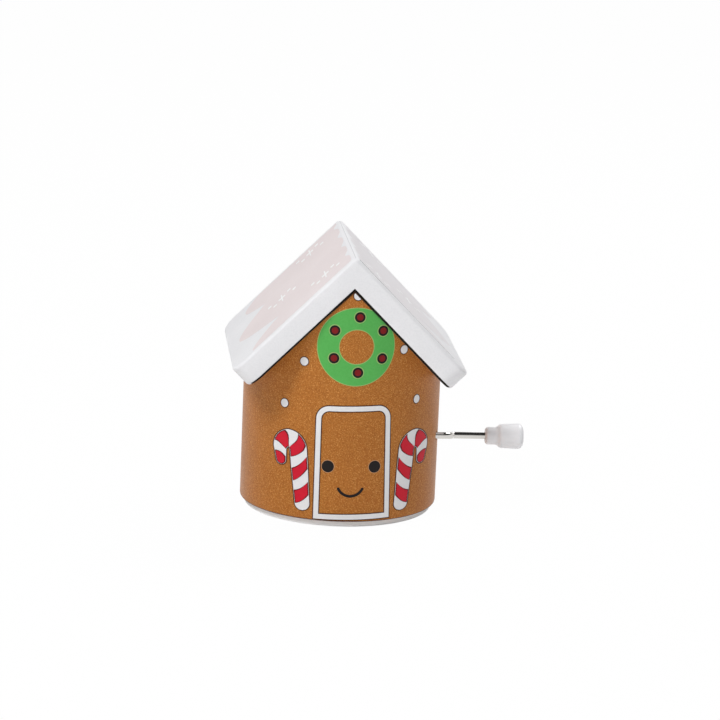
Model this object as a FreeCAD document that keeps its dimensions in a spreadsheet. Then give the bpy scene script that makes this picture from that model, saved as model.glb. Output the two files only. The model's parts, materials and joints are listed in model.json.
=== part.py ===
"""Hand-crank music box in the form of a small house.

A turned wooden body with a gable-cut top carries two mitred roof boards. A plate closes its bore
from below and carries a musical movement: a pinned drum, a steel comb, and a worm that a bent
wire crank turns through the side wall.

Frame: origin at the centre of the base plate's underside, +Z up, front towards -Y, crank
towards +X. Lengths are in millimetres and angles in degrees.
"""
import FreeCAD, Part
import math
import os
import Sketcher

X_AXIS = FreeCAD.Vector(1, 0, 0)
Y_AXIS = FreeCAD.Vector(0, 1, 0)
ALONG_Y = FreeCAD.Rotation(X_AXIS, -90)

# Driving sizes: name, value, meaning
SIZES = [
    # Case
    ("wall", 6.0, "body wall round the bore"),
    ("bore_gap", 1.18, "room between the bedplate's corners and the bore"),
    ("headroom", 12.0, "room in the bore above the worm"),
    ("gable_margin", 5.03, "top of the bore to the roof's underside at the wall"),
    ("body_round", 0.8, "rounding of the body's lower edge"),
    ("roof_angle", 45.0, "slope of the roof boards"),
    ("roof_thickness", 8.0, "thickness of a roof board"),
    ("front_overhang", 0.5, "roof boards in front of and behind the body"),
    ("eave_overhang", 0.1, "underside of a roof board past the wall"),
    ("roof_round", 1.2, "rounding along a roof board's edges"),
    ("roof_corner", 6.0, "rounding of a roof board's eave corners"),
    ("ridge_round", 1.8, "rounding along the ridge, over the joint of the boards"),
    ("base_inset", 1.5, "base plate's rim inside the body's wall"),
    ("base_reveal", 2.0, "base plate's rim below the body"),
    ("base_round", 0.5, "rounding of the base plate's lower rim"),
    ("spigot_height", 3.0, "spigot of the base plate inside the bore"),
    ("spigot_play", 0.15, "play between spigot and bore"),
    # Screws
    ("fit", 0.02, "play between pieces that don't move on each other"),
    ("running", 0.05, "play of a shaft in its bearing"),
    ("base_screw_radius", 0.9, "shank of a base screw"),
    ("base_screw_head", 1.6, "head of a base screw, radius"),
    ("base_screw_depth", 8.0, "base screw in the body's wall"),
    ("screw_radius", 1.0, "shank of a movement screw"),
    ("screw_head", 1.9, "head of a movement screw, radius"),
    ("screw_head_height", 1.2, "head of a movement screw"),
    ("screw_recess", 0.4, "movement screw's head above the base's underside"),
    ("screw_inset", 3.6, "movement screws from the bedplate's edges"),
    ("slot_width", 0.5, "screwdriver slot"),
    ("slot_depth", 0.5, "screwdriver slot"),
    # Bedplate
    ("bed_thickness", 3.0, "bedplate"),
    ("bed_corner", 3.0, "rounding of the bedplate's corners"),
    ("bed_margin", 0.5, "bedplate past the comb and the bracket"),
    ("bed_lip", 2.6, "bedplate past the drum posts"),
    ("floor_gap", 1.1, "room under the drum and its wheel"),
    ("post_thickness", 2.4, "drum post along the arbor"),
    ("post_radius", 3.4, "drum post round the arbor"),
    ("post_gap", 0.4, "end play between drum and posts"),
    # Worm and wheel
    ("gear_module", 0.5, "tooth module of worm and wheel"),
    ("wheel_teeth", 24, "teeth of the worm wheel"),
    ("worm_pitch_radius", 2.5, "pitch radius of the worm"),
    ("flank_angle", 20.0, "slope of the tooth flanks"),
    ("root_clearance", 0.1, "tooth tip to the root that it reaches into"),
    ("backlash", 0.25, "thinning of each tooth at the pitch line"),
    ("thread_turns", 5, "turns of the worm thread"),
    ("collar_length", 1.4, "thrust collar at each end of the worm"),
    ("wheel_width", 2.4, "face of the worm wheel"),
    ("wheel_hub", 2.0, "hub in front of the wheel's face"),
    ("hub_radius", 2.3, "hub of the wheel"),
    # Drum and comb
    ("drum_radius", 6.5, "outside of the drum sleeve"),
    ("drum_wall", 0.5, "drum sleeve"),
    ("drum_margin", 0.43, "drum sleeve past the outer tracks"),
    ("sleeve_gap", 0.2, "worm's side to the drum sleeve"),
    ("cap_thickness", 1.5, "drum cap"),
    ("pin_radius", 0.2, "drum pin"),
    ("pin_height", 0.7, "drum pin above the sleeve"),
    ("pin_count", 54, "drum pins"),
    ("note_count", 18, "teeth of the comb"),
    ("track_pitch", 0.9, "from one tooth of the comb to the next"),
    ("arbor_radius", 1.0, "drum arbor"),
    ("arbor_end", 0.6, "arbor past its clip"),
    ("clip_thickness", 0.5, "arbor clip"),
    ("clip_radius", 1.9, "arbor clip"),
    ("clip_mouth", 1.2, "opening of the arbor clip"),
    ("clip_groove", 0.25, "depth of the clip's groove"),
    ("clip_gap", 0.1, "clip to post"),
    ("comb_gap", 0.15, "tooth tips to the pins' circle"),
    ("comb_base", 7.0, "clamped back of the comb"),
    ("comb_thickness", 0.9, "clamped back of the comb"),
    ("tooth_thickness", 0.5, "comb teeth"),
    ("bass_length", 10.0, "longest tooth"),
    ("treble_length", 7.0, "shortest tooth"),
    ("tooth_gap", 0.25, "slit between teeth"),
    ("weight_count", 7, "bass teeth with a weight"),
    ("weight_length", 1.8, "bass weight along its tooth"),
    ("weight_height", 1.2, "bass weight below its tooth"),
    ("weight_inset", 0.5, "bass weight from the tooth's tip"),
    # Crank
    ("bracket_thickness", 1.0, "sheet of the crank bracket"),
    ("ear_gap", 1.4, "wheel to the bracket's ears"),
    ("ear_wall", 0.85, "bracket's ear beside the wire"),
    ("flange_length", 5.0, "bracket's foot outside an ear"),
    ("thrust_gap", 0.1, "worm to the bracket's ears"),
    ("wire_radius", 1.1, "crank wire"),
    ("wire_tail", 1.6, "crank wire past the inner ear"),
    ("hole_play", 0.5, "crank wire in the body's hole"),
    ("arm_gap", 4.0, "crank arm from the body's wall"),
    ("arm_length", 16.0, "crank throw"),
    ("bend_radius", 3.0, "bends of the crank wire, at the wire's centre"),
    ("crank_rest_angle", 193.8, "crank arm at rest, turned up and over from the front"),
    ("knob_gap", 12.86, "crank arm to the knob"),
    ("knob_length", 12.8, "knob"),
    ("neck_length", 3.1, "knob's neck"),
    ("neck_radius", 2.9, "knob's neck"),
    ("neck_round", 1.0, "rounding of the neck's end"),
    ("shoulder_length", 2.5, "shoulder between neck and barrel"),
    ("barrel_inner_radius", 3.97, "barrel at the shoulder"),
    ("barrel_radius", 4.26, "barrel at its widest"),
    ("end_round", 1.8, "rounding of the barrel's end"),
    ("end_dome", 0.25, "dome of the barrel's end"),
    ("knob_end_wall", 2.4, "knob past the wire's end"),
    ("bead_height", 0.3, "bead on the wire that keeps the knob on"),
    ("bead_length", 1.2, "bead on the wire"),
    ("bead_inset", 2.4, "bead from the wire's end"),
]

# Sizes and places that follow from the driving sizes
PLACES = [
    ("thread_pitch", "pi * sizes.gear_module"),
    ("tooth_half", "(pi * sizes.gear_module / 2 - sizes.backlash) / 2"),
    ("flank_slope", "tan(sizes.flank_angle)"),
    ("tooth_depth", "sizes.gear_module + sizes.root_clearance"),
    ("wheel_pitch_radius", "sizes.gear_module * sizes.wheel_teeth / 2"),
    ("wheel_tip", "places.wheel_pitch_radius + sizes.gear_module"),
    ("wheel_root", "places.wheel_pitch_radius - places.tooth_depth"),
    ("worm_tip", "sizes.worm_pitch_radius + sizes.gear_module"),
    ("worm_root", "sizes.worm_pitch_radius - places.tooth_depth"),
    ("pin_circle", "sizes.drum_radius + sizes.pin_height"),
    ("bed_bottom", "sizes.base_reveal + sizes.spigot_height"),
    ("bed_top", "places.bed_bottom + sizes.bed_thickness"),
    ("foot_top", "places.bed_top + sizes.bracket_thickness"),
    ("drum_z", "places.bed_top + sizes.floor_gap"
               " + max(places.pin_circle; places.wheel_tip + sizes.bracket_thickness)"),
    ("crank_z", "places.drum_z + sizes.worm_pitch_radius + places.wheel_pitch_radius"),
    ("ear_inner", "places.wheel_tip + sizes.ear_gap"),
    ("ear_outer", "places.ear_inner + sizes.bracket_thickness"),
    ("foot_reach", "places.ear_outer + sizes.flange_length"),
    ("left_reach", "places.pin_circle + sizes.comb_gap + sizes.bass_length + sizes.comb_base"
                   " + sizes.bed_margin"),
    ("right_reach", "places.foot_reach + sizes.bed_margin"),
    ("bed_half_x", "(places.left_reach + places.right_reach) / 2"),
    ("drum_x", "places.bed_half_x - places.right_reach"),
    ("drum_length", "sizes.note_count * sizes.track_pitch + 2 * sizes.drum_margin"),
    ("post_reach", "sizes.post_gap + sizes.post_thickness + sizes.bed_lip"),
    ("front_reach", "sizes.wheel_width / 2 + sizes.wheel_hub + places.post_reach"),
    ("sleeve_reach", "max(places.worm_tip; sizes.wheel_width / 2) + sizes.sleeve_gap"),
    ("back_reach", "places.sleeve_reach + places.drum_length + places.post_reach"),
    ("bed_half_y", "(places.front_reach + places.back_reach) / 2"),
    ("crank_y", "places.front_reach - places.bed_half_y"),
    ("sleeve_front", "places.crank_y + places.sleeve_reach"),
    ("sleeve_back", "places.sleeve_front + places.drum_length"),
    ("front_post", "sizes.bed_lip - places.bed_half_y"),
    ("back_post", "places.bed_half_y - sizes.bed_lip"),
    ("comb_front", "places.sleeve_front + sizes.drum_margin"),
    ("comb_width", "sizes.note_count * sizes.track_pitch"),
    ("comb_tip", "places.drum_x - places.pin_circle - sizes.comb_gap"),
    ("comb_root", "places.comb_tip - sizes.bass_length"),
    ("comb_back", "places.comb_root - sizes.comb_base"),
    ("comb_bottom", "places.drum_z + sizes.tooth_thickness - sizes.comb_thickness"),
    ("bracket_half_width", "sizes.wire_radius + sizes.running + sizes.ear_wall"),
    ("bore_radius", "hypot(places.bed_half_x - sizes.bed_corner; places.bed_half_y"
                    " - sizes.bed_corner) + sizes.bed_corner + sizes.bore_gap"),
    ("body_radius", "places.bore_radius + sizes.wall"),
    ("base_radius", "places.body_radius - sizes.base_inset"),
    ("screw_circle", "(places.bore_radius + places.base_radius) / 2"),
    ("bore_top", "places.crank_z + max(places.worm_tip; places.bracket_half_width)"
                 " + sizes.headroom"),
    ("wall_top", "places.bore_top + sizes.gable_margin"),
    ("apex", "places.wall_top + places.body_radius * tan(sizes.roof_angle)"),
    ("ridge", "places.apex + sizes.roof_thickness / cos(sizes.roof_angle)"),
    ("ridge_centre_z", "places.ridge - sizes.ridge_round / cos(sizes.roof_angle)"),
    ("ridge_side_x", "sizes.ridge_round * sin(sizes.roof_angle)"),
    ("ridge_side_z", "places.ridge_centre_z + sizes.ridge_round * cos(sizes.roof_angle)"),
    ("eave_x", "places.body_radius + sizes.eave_overhang"),
    ("eave_z", "places.apex - places.eave_x * tan(sizes.roof_angle)"),
    ("eave_tip_x", "places.eave_x + sizes.roof_thickness * sin(sizes.roof_angle)"),
    ("eave_tip_z", "places.eave_z + sizes.roof_thickness * cos(sizes.roof_angle)"),
    ("roof_half_depth", "places.body_radius + sizes.front_overhang"),
    ("arm_x", "places.body_radius + sizes.arm_gap"),
    ("knob_start", "places.arm_x + sizes.knob_gap"),
    ("wire_start", "places.drum_x - places.ear_outer - sizes.wire_tail"),
    ("wire_end", "places.knob_start + sizes.knob_length - sizes.knob_end_wall"),
    ("bead_start", "places.wire_end - sizes.bead_inset - sizes.bead_length"),
    ("bead_end", "places.wire_end - sizes.bead_inset"),
]

BASE_SCREW_ANGLES = (90, 210, 330)
COMB_SCREW_SHARES = (0.18, 0.5, 0.82)
MOVEMENT_SCREW_CORNERS = ((-1, -1), (-1, 1), (1, 1))
TRACK_STRIDE = 7
CUT_PAST = 1.0
SAME_PLACE = 0.0001

doc = FreeCAD.newDocument("music_box")


def fill_sheets():
    """Put the driving sizes and what follows from them into two sheets."""
    sizes = doc.addObject("Spreadsheet::Sheet", "sizes")
    for row, (alias, value, meaning) in enumerate(SIZES, start=1):
        sizes.set(f"A{row}", meaning)
        sizes.set(f"B{row}", str(value))
        sizes.setAlias(f"B{row}", alias)
    places = doc.addObject("Spreadsheet::Sheet", "places")
    for row, (alias, formula) in enumerate(PLACES, start=1):
        places.set(f"A{row}", alias)
        places.set(f"B{row}", "=" + formula.replace("places.", ""))
        places.setAlias(f"B{row}", alias)
    doc.recompute()
    return sizes


sheet = fill_sheets()


def number(expression):
    """The present value of an expression on the sheets."""
    value = sheet.evalExpression(str(expression))
    return float(getattr(value, "Value", value))


def bind(item, **expressions):
    """Bind properties of an object to expressions on the sheets."""
    for name, expression in expressions.items():
        item.setExpression(name, str(expression))
    return item


def put(item, x="0", y="0", z="0", rotation=None):
    """Bind an object's place, and turn it if a rotation is given."""
    if rotation is not None:
        item.Placement = FreeCAD.Placement(FreeCAD.Vector(), rotation)
    for axis, expression in zip("xyz", (x, y, z)):
        item.setExpression(f"Placement.Base.{axis}", str(expression))
    return item


# Sketches and features

def new_body(label):
    body = doc.addObject("PartDesign::Body", label)
    body.Label = label
    return body


def new_sketch(body, name, role, offset="0", shift="0"):
    """A sketch on one of the body's own origin planes, moved along its normal and its second axis."""
    plane = next(item for item in body.Origin.OriginFeatures if item.Role == role)
    sketch = body.newObject("Sketcher::SketchObject", name)
    sketch.AttachmentSupport = [(plane, "")]
    sketch.MapMode = "FlatFace"
    sketch.setExpression("AttachmentOffset.Base.z", offset)
    sketch.setExpression("AttachmentOffset.Base.y", shift)
    return sketch


def fix_point(sketch, geometry, point, x, y):
    """Tie a sketch point to two expressions."""
    for kind, axis, expression in (("DistanceX", -2, x), ("DistanceY", -1, y)):
        if str(expression) == "0":
            sketch.addConstraint(Sketcher.Constraint("PointOnObject", geometry, point, axis))
            continue
        value = number(expression)
        index = sketch.addConstraint(Sketcher.Constraint(kind, -1, 1, geometry, point, value))
        sketch.setExpression(f"Constraints[{index}]", str(expression))


def fix_radius(sketch, geometry, radius):
    index = sketch.addConstraint(Sketcher.Constraint("Radius", geometry, number(radius)))
    sketch.setExpression(f"Constraints[{index}]", str(radius))


def circle(sketch, x, y, radius):
    centre = FreeCAD.Vector(number(x), number(y), 0)
    geometry = sketch.addGeometry(Part.Circle(centre, FreeCAD.Vector(0, 0, 1), number(radius)))
    fix_point(sketch, geometry, 3, x, y)
    fix_radius(sketch, geometry, radius)


def arc_between(start, end, radius, turn):
    """The short arc from start to end, counter-clockwise when turn is 1."""
    chord = end - start
    half = chord.Length / 2
    rise = math.sqrt(max(radius ** 2 - half ** 2, 0.0))
    side = FreeCAD.Vector(-chord.y, chord.x, 0).normalize() * turn
    centre = start + chord / 2 + side * rise
    first, last = (start, end) if turn > 0 else (end, start)
    angles = [math.atan2(point.y - centre.y, point.x - centre.x) for point in (first, last)]
    ring = Part.Circle(centre, FreeCAD.Vector(0, 0, 1), radius)
    return Part.ArcOfCircle(ring, angles[0], angles[1])


def outline(sketch, corners, closed=True):
    """Lines and arcs through corners (x, y) or (x, y, radius, turn).

    A corner with a radius starts an arc, counter-clockwise when its turn is 1.
    """
    points = [FreeCAD.Vector(number(corner[0]), number(corner[1]), 0) for corner in corners]
    count = len(corners) if closed else len(corners) - 1
    ends = []
    for index in range(count):
        start = points[index]
        end = points[(index + 1) % len(points)]
        if len(corners[index]) == 2:
            geometry = sketch.addGeometry(Part.LineSegment(start, end))
            ends.append((geometry, 1, 2))
            continue
        radius, turn = corners[index][2:]
        geometry = sketch.addGeometry(arc_between(start, end, number(radius), turn))
        ends.append((geometry, 1, 2) if turn > 0 else (geometry, 2, 1))
    for index in range(count if closed else count - 1):
        geometry, _, last = ends[index]
        following, first, _ = ends[(index + 1) % count]
        sketch.addConstraint(Sketcher.Constraint("Coincident", geometry, last, following, first))
    for index, (geometry, first, last) in enumerate(ends):
        fix_point(sketch, geometry, first, *corners[index][:2])
        if len(corners[index]) > 2:
            fix_radius(sketch, geometry, corners[index][2])
    if not closed:
        geometry, _, last = ends[-1]
        fix_point(sketch, geometry, last, *corners[-1][:2])


def box_corners(left, right, low, high):
    return [(left, low), (right, low), (right, high), (left, high)]


def extrude(body, sketch, length, kind="Pad", reverse=False, symmetric=False):
    """Pad or pocket a sketch by a length, both ways when symmetric."""
    feature = body.newObject(f"PartDesign::{kind}", f"{sketch.Name}_{kind.lower()}")
    feature.Profile = sketch
    feature.Reversed = reverse
    if symmetric:
        feature.SideType = "Symmetric"
    return bind(feature, Length=length)


def revolve(body, sketch, axis):
    feature = body.newObject("PartDesign::Revolution", f"{sketch.Name}_turned")
    feature.Profile = sketch
    feature.ReferenceAxis = (sketch, [axis])
    feature.Angle = 360
    return feature


def ease(body, kind, test, **expressions):
    """Fillet or chamfer the edges of a body that pass a test."""
    doc.recompute()
    base = body.Tip
    names = [f"Edge{i}" for i, edge in enumerate(base.Shape.Edges, start=1) if test(edge)]
    feature = body.newObject(f"PartDesign::{kind}", f"{body.Name}_{kind.lower()}")
    feature.Base = (base, names)
    return bind(feature, **expressions)


def is_ring(edge, radius, z):
    """Whether an edge is a level circle of this radius at this height."""
    if edge.Curve.TypeId != "Part::GeomCircle":
        return False
    return abs(edge.Curve.Radius - radius) < SAME_PLACE and abs(edge.BoundBox.Center.z - z) < SAME_PLACE


# Part primitives

def block(name, x, y, z, length, width, height):
    item = doc.addObject("Part::Box", name)
    bind(item, Length=length, Width=width, Height=height)
    return put(item, x, y, z)


def rod(name, radius, height, x, y, z, rotation=None):
    item = doc.addObject("Part::Cylinder", name)
    bind(item, Radius=radius, Height=height)
    return put(item, x, y, z, rotation)


def drum_rod(name, radius, start, length):
    """A round bar on the drum's axis."""
    return rod(name, radius, length, "places.drum_x", start, "places.drum_z", ALONG_Y)


def cut(name, base, tool):
    item = doc.addObject("Part::Cut", name)
    item.Base = base
    item.Tool = tool
    return item


def joined(name, items):
    item = doc.addObject("Part::MultiFuse", name)
    item.Shapes = items
    return item


def group(label, items):
    """Separate solids of one kind under one name."""
    item = doc.addObject("Part::Compound", label)
    item.Links = items
    item.Label = label
    return item


# Case

def base_screw_places():
    return [(f"places.screw_circle * cos({angle})", f"places.screw_circle * sin({angle})")
            for angle in BASE_SCREW_ANGLES]


def house_body():
    body = new_body("house_body")
    blank = new_sketch(body, "body_blank", "XY_Plane", "sizes.base_reveal")
    circle(blank, "0", "0", "places.body_radius")
    extrude(body, blank, "places.apex - sizes.base_reveal")

    gable = new_sketch(body, "body_gable", "XZ_Plane")
    past = f"(places.body_radius + {CUT_PAST})"
    low = f"places.apex - {past} * tan(sizes.roof_angle)"
    top = f"places.apex + {CUT_PAST}"
    outline(gable, [("0", "places.apex"), (past, low), (past, top), (f"-{past}", top),
                    (f"-{past}", low)])
    extrude(body, gable, f"2 * {past}", "Pocket", symmetric=True)

    bore = new_sketch(body, "body_bore", "XY_Plane", "sizes.base_reveal")
    circle(bore, "0", "0", "places.bore_radius")
    extrude(body, bore, "places.bore_top - sizes.base_reveal", "Pocket", reverse=True)

    hole = new_sketch(body, "crank_hole", "YZ_Plane")
    circle(hole, "places.crank_y", "places.crank_z", "sizes.wire_radius + sizes.hole_play")
    extrude(body, hole, past, "Pocket", reverse=True)

    pilots = new_sketch(body, "pilot_holes", "XY_Plane", "sizes.base_reveal")
    for x, y in base_screw_places():
        circle(pilots, x, y, "sizes.base_screw_radius + sizes.fit")
    extrude(body, pilots, "sizes.base_screw_depth", "Pocket", reverse=True)

    radius = number("places.body_radius")
    bottom = number("sizes.base_reveal")
    ease(body, "Fillet", lambda edge: is_ring(edge, radius, bottom), Radius="sizes.body_round")
    return body


def roof_board(label, side):
    body = new_body(label)
    section = new_sketch(body, f"{label}_section", "XZ_Plane")
    outline(section, [
        ("0", "places.apex"),
        (f"{side} * places.eave_x", "places.eave_z"),
        (f"{side} * places.eave_tip_x", "places.eave_tip_z"),
        (f"{side} * places.ridge_side_x", "places.ridge_side_z", "sizes.ridge_round", side),
        ("0", "places.ridge_centre_z + sizes.ridge_round"),
    ])
    extrude(body, section, "2 * places.roof_half_depth", symmetric=True)

    eave_x = number("places.eave_x")
    thickness = number("sizes.roof_thickness")

    def at_eave_corner(edge):
        """An edge through the board's thickness at the front or back end of the eave."""
        return abs(edge.CenterOfMass.x) > eave_x and edge.Length < 2 * thickness

    ease(body, "Fillet", at_eave_corner, Radius="sizes.roof_corner")

    slope = math.radians(number("sizes.roof_angle"))
    normal = FreeCAD.Vector(side * math.sin(slope), 0, math.cos(slope))
    faces_at = [normal.z * number(name) for name in ("places.apex", "places.ridge")]
    ridge_side = number("places.ridge_side_x")

    def on_rim(edge):
        """An edge of the board's upper or lower face, but not at the ridge."""
        if max(abs(vertex.X) for vertex in edge.Vertexes) < ridge_side + SAME_PLACE:
            return False
        heights = [normal.dot(vertex.Point) for vertex in edge.Vertexes]
        return any(all(abs(height - face) < SAME_PLACE for height in heights) for face in faces_at)

    ease(body, "Fillet", on_rim, Radius="sizes.roof_round")
    return body


def base_plate():
    body = new_body("base_plate")
    section = new_sketch(body, "base_section", "XZ_Plane")
    rim = "places.base_radius"
    spigot = "places.bore_radius - sizes.spigot_play"
    outline(section, [
        ("0", "0"),
        (f"{rim} - sizes.base_round", "0", "sizes.base_round", 1),
        (rim, "sizes.base_round"),
        (rim, "sizes.base_reveal"),
        (spigot, "sizes.base_reveal"),
        (spigot, "places.bed_bottom"),
        ("0", "places.bed_bottom"),
    ])
    revolve(body, section, "V_Axis")

    holes = new_sketch(body, "base_holes", "XY_Plane")
    hole_radius = "sizes.base_screw_radius + sizes.fit"
    for x, y in base_screw_places():
        circle(holes, x, y, hole_radius)
    for x, y in movement_screw_places():
        circle(holes, x, y, "sizes.screw_radius + sizes.fit")
    extrude(body, holes, "places.bed_bottom", "Pocket", reverse=True)

    seats = new_sketch(body, "base_seats", "XY_Plane")
    for x, y in movement_screw_places():
        circle(seats, x, y, "sizes.screw_head + sizes.fit")
    extrude(body, seats, "sizes.screw_recess + sizes.screw_head_height", "Pocket", reverse=True)

    radius = number(hole_radius)
    ease(body, "Chamfer", lambda edge: is_ring(edge, radius, 0.0),
         Size="sizes.base_screw_head - sizes.base_screw_radius")
    return body


# Screws

def slotted(name, solids, x, y, z, head):
    """A screw of some solids, with a driver slot that starts at height z."""
    reach = f"({head} + {CUT_PAST})"
    slot = block(f"{name}_slot", f"{x} - {reach}", f"{y} - sizes.slot_width / 2", z,
                 f"2 * {reach}", "sizes.slot_width", f"sizes.slot_depth + {CUT_PAST}")
    return cut(name, joined(f"{name}_blank", solids), slot)


def base_screws():
    """Countersunk wood screws, flush with the base plate's underside."""
    screws = []
    head = "sizes.base_screw_head"
    taper = "(sizes.base_screw_head - sizes.base_screw_radius)"
    for index, (x, y) in enumerate(base_screw_places(), start=1):
        name = f"base_screw_{index}"
        cone = doc.addObject("Part::Cone", f"{name}_head")
        bind(cone, Radius1=head, Radius2="sizes.base_screw_radius", Height=taper)
        put(cone, x, y, "sizes.fit")
        shank = rod(f"{name}_shank", "sizes.base_screw_radius",
                    "sizes.base_reveal + sizes.base_screw_depth - sizes.fit", x, y, "sizes.fit")
        screws.append(slotted(name, [cone, shank], x, y,
                              f"sizes.slot_depth / 2 - sizes.slot_depth - {CUT_PAST}", head))
    return group("base_screws", screws)


def movement_screw_places():
    reach_x = "(places.bed_half_x - sizes.screw_inset)"
    reach_y = "(places.bed_half_y - sizes.screw_inset)"
    return [(f"{x} * {reach_x}", f"{y} * {reach_y}") for x, y in MOVEMENT_SCREW_CORNERS]


def movement_screws():
    """Screws from below, with their heads in the base plate's seats."""
    screws = []
    for index, (x, y) in enumerate(movement_screw_places(), start=1):
        name = f"movement_screw_{index}"
        head = rod(f"{name}_head", "sizes.screw_head", "sizes.screw_head_height", x, y,
                   "sizes.screw_recess")
        shank = rod(f"{name}_shank", "sizes.screw_radius", "places.bed_top - sizes.screw_recess",
                    x, y, "sizes.screw_recess")
        screws.append(slotted(name, [head, shank], x, y, f"sizes.screw_recess - {CUT_PAST}",
                              "sizes.screw_head"))
    return group("movement_screws", screws)


def top_screws(label, positions, seat, depth):
    """Screws from above, with their heads on a seat at one height."""
    screws = []
    for index, (x, y) in enumerate(positions, start=1):
        name = f"{label}_{index}"
        head = rod(f"{name}_head", "sizes.screw_head", "sizes.screw_head_height", x, y, seat)
        shank = rod(f"{name}_shank", "sizes.screw_radius",
                    f"{depth} + sizes.screw_head_height", x, y, f"{seat} - {depth}")
        top = f"{seat} + sizes.screw_head_height - sizes.slot_depth"
        screws.append(slotted(name, [head, shank], x, y, top, "sizes.screw_head"))
    return group(label, screws)


def comb_screw_places():
    x = "places.comb_back + sizes.comb_base / 2"
    return [(x, f"places.comb_front + {share} * places.comb_width") for share in COMB_SCREW_SHARES]


def bracket_screw_places():
    reach = "(places.ear_outer + sizes.flange_length / 2)"
    return [(f"places.drum_x + {side} * {reach}", "places.crank_y") for side in (-1, 1)]


# Movement frame

def bedplate():
    body = new_body("bedplate")
    plate = new_sketch(body, "bed_plate", "XY_Plane", "places.bed_bottom")
    far_x = "places.bed_half_x"
    far_y = "places.bed_half_y"
    near_x = "(places.bed_half_x - sizes.bed_corner)"
    near_y = "(places.bed_half_y - sizes.bed_corner)"
    corner = ("sizes.bed_corner", 1)
    outline(plate, [
        (f"-{near_x}", f"-{far_y}"),
        (near_x, f"-{far_y}", *corner),
        (far_x, f"-{near_y}"),
        (far_x, near_y, *corner),
        (near_x, far_y),
        (f"-{near_x}", far_y, *corner),
        (f"-{far_x}", near_y),
        (f"-{far_x}", f"-{near_y}", *corner),
    ])
    extrude(body, plate, "sizes.bed_thickness")

    step = new_sketch(body, "comb_step", "XY_Plane", "places.bed_top")
    outline(step, box_corners("places.comb_back", "places.comb_root", "places.comb_front",
                              "places.comb_front + places.comb_width"))
    extrude(body, step, "places.comb_bottom - places.bed_top")

    for name, back_face in (("front_post", "places.front_post + sizes.post_thickness"),
                            ("back_post", "places.back_post")):
        post = new_sketch(body, name, "XZ_Plane", f"-({back_face})")
        left = "places.drum_x - sizes.post_radius"
        right = "places.drum_x + sizes.post_radius"
        shoulder = ("sizes.post_radius", 1)
        outline(post, [
            (left, "places.bed_top"),
            (right, "places.bed_top"),
            (right, "places.drum_z", *shoulder),
            ("places.drum_x", "places.drum_z + sizes.post_radius", *shoulder),
            (left, "places.drum_z"),
        ])
        extrude(body, post, "sizes.post_thickness")

    bearing = new_sketch(body, "arbor_bearing", "XZ_Plane")
    circle(bearing, "places.drum_x", "places.drum_z", "sizes.arbor_radius + sizes.running")
    extrude(body, bearing, "2 * places.bed_half_y", "Pocket", symmetric=True)

    drilled = new_sketch(body, "bed_holes", "XY_Plane", "places.bed_top")
    for x, y in movement_screw_places() + bracket_screw_places():
        circle(drilled, x, y, "sizes.screw_radius + sizes.fit")
    extrude(body, drilled, "sizes.bed_thickness", "Pocket")

    tapped = new_sketch(body, "step_holes", "XY_Plane", "places.comb_bottom")
    for x, y in comb_screw_places():
        circle(tapped, x, y, "sizes.screw_radius + sizes.fit")
    extrude(body, tapped, "sizes.bed_thickness", "Pocket")
    return body


def crank_bracket():
    body = new_body("crank_bracket")
    section = new_sketch(body, "bracket_section", "XZ_Plane", "-places.crank_y")
    foot = "places.foot_reach"
    outer = "places.ear_outer"
    inner = "places.ear_inner"
    middle = "places.drum_x"
    ear_top = "places.crank_z + places.bracket_half_width"
    outline(section, [
        (f"{middle} - {foot}", "places.bed_top"),
        (f"{middle} + {foot}", "places.bed_top"),
        (f"{middle} + {foot}", "places.foot_top"),
        (f"{middle} + {outer}", "places.foot_top"),
        (f"{middle} + {outer}", ear_top),
        (f"{middle} + {inner}", ear_top),
        (f"{middle} + {inner}", "places.foot_top"),
        (f"{middle} - {inner}", "places.foot_top"),
        (f"{middle} - {inner}", ear_top),
        (f"{middle} - {outer}", ear_top),
        (f"{middle} - {outer}", "places.foot_top"),
        (f"{middle} - {foot}", "places.foot_top"),
    ])
    extrude(body, section, "2 * places.bracket_half_width", symmetric=True)

    bearing = new_sketch(body, "wire_bearing", "YZ_Plane", middle)
    circle(bearing, "places.crank_y", "places.crank_z", "sizes.wire_radius + sizes.running")
    extrude(body, bearing, f"2 * {foot}", "Pocket", symmetric=True)

    holes = new_sketch(body, "bracket_holes", "XY_Plane", "places.foot_top")
    for x, y in bracket_screw_places():
        circle(holes, x, y, "sizes.screw_radius + sizes.fit")
    extrude(body, holes, "sizes.bracket_thickness", "Pocket")

    top = number(ear_top)
    ease(body, "Fillet", lambda edge: on_ear_corner(edge, top),
         Radius="places.bracket_half_width - sizes.fit")
    return body


def on_ear_corner(edge, top):
    """An edge through an ear's sheet at one of its upper corners."""
    ends = [vertex.Point for vertex in edge.Vertexes]
    if len(ends) != 2 or max(abs(point.z - top) for point in ends) > SAME_PLACE:
        return False
    return abs(ends[0].y - ends[1].y) < SAME_PLACE


# Comb

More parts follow.
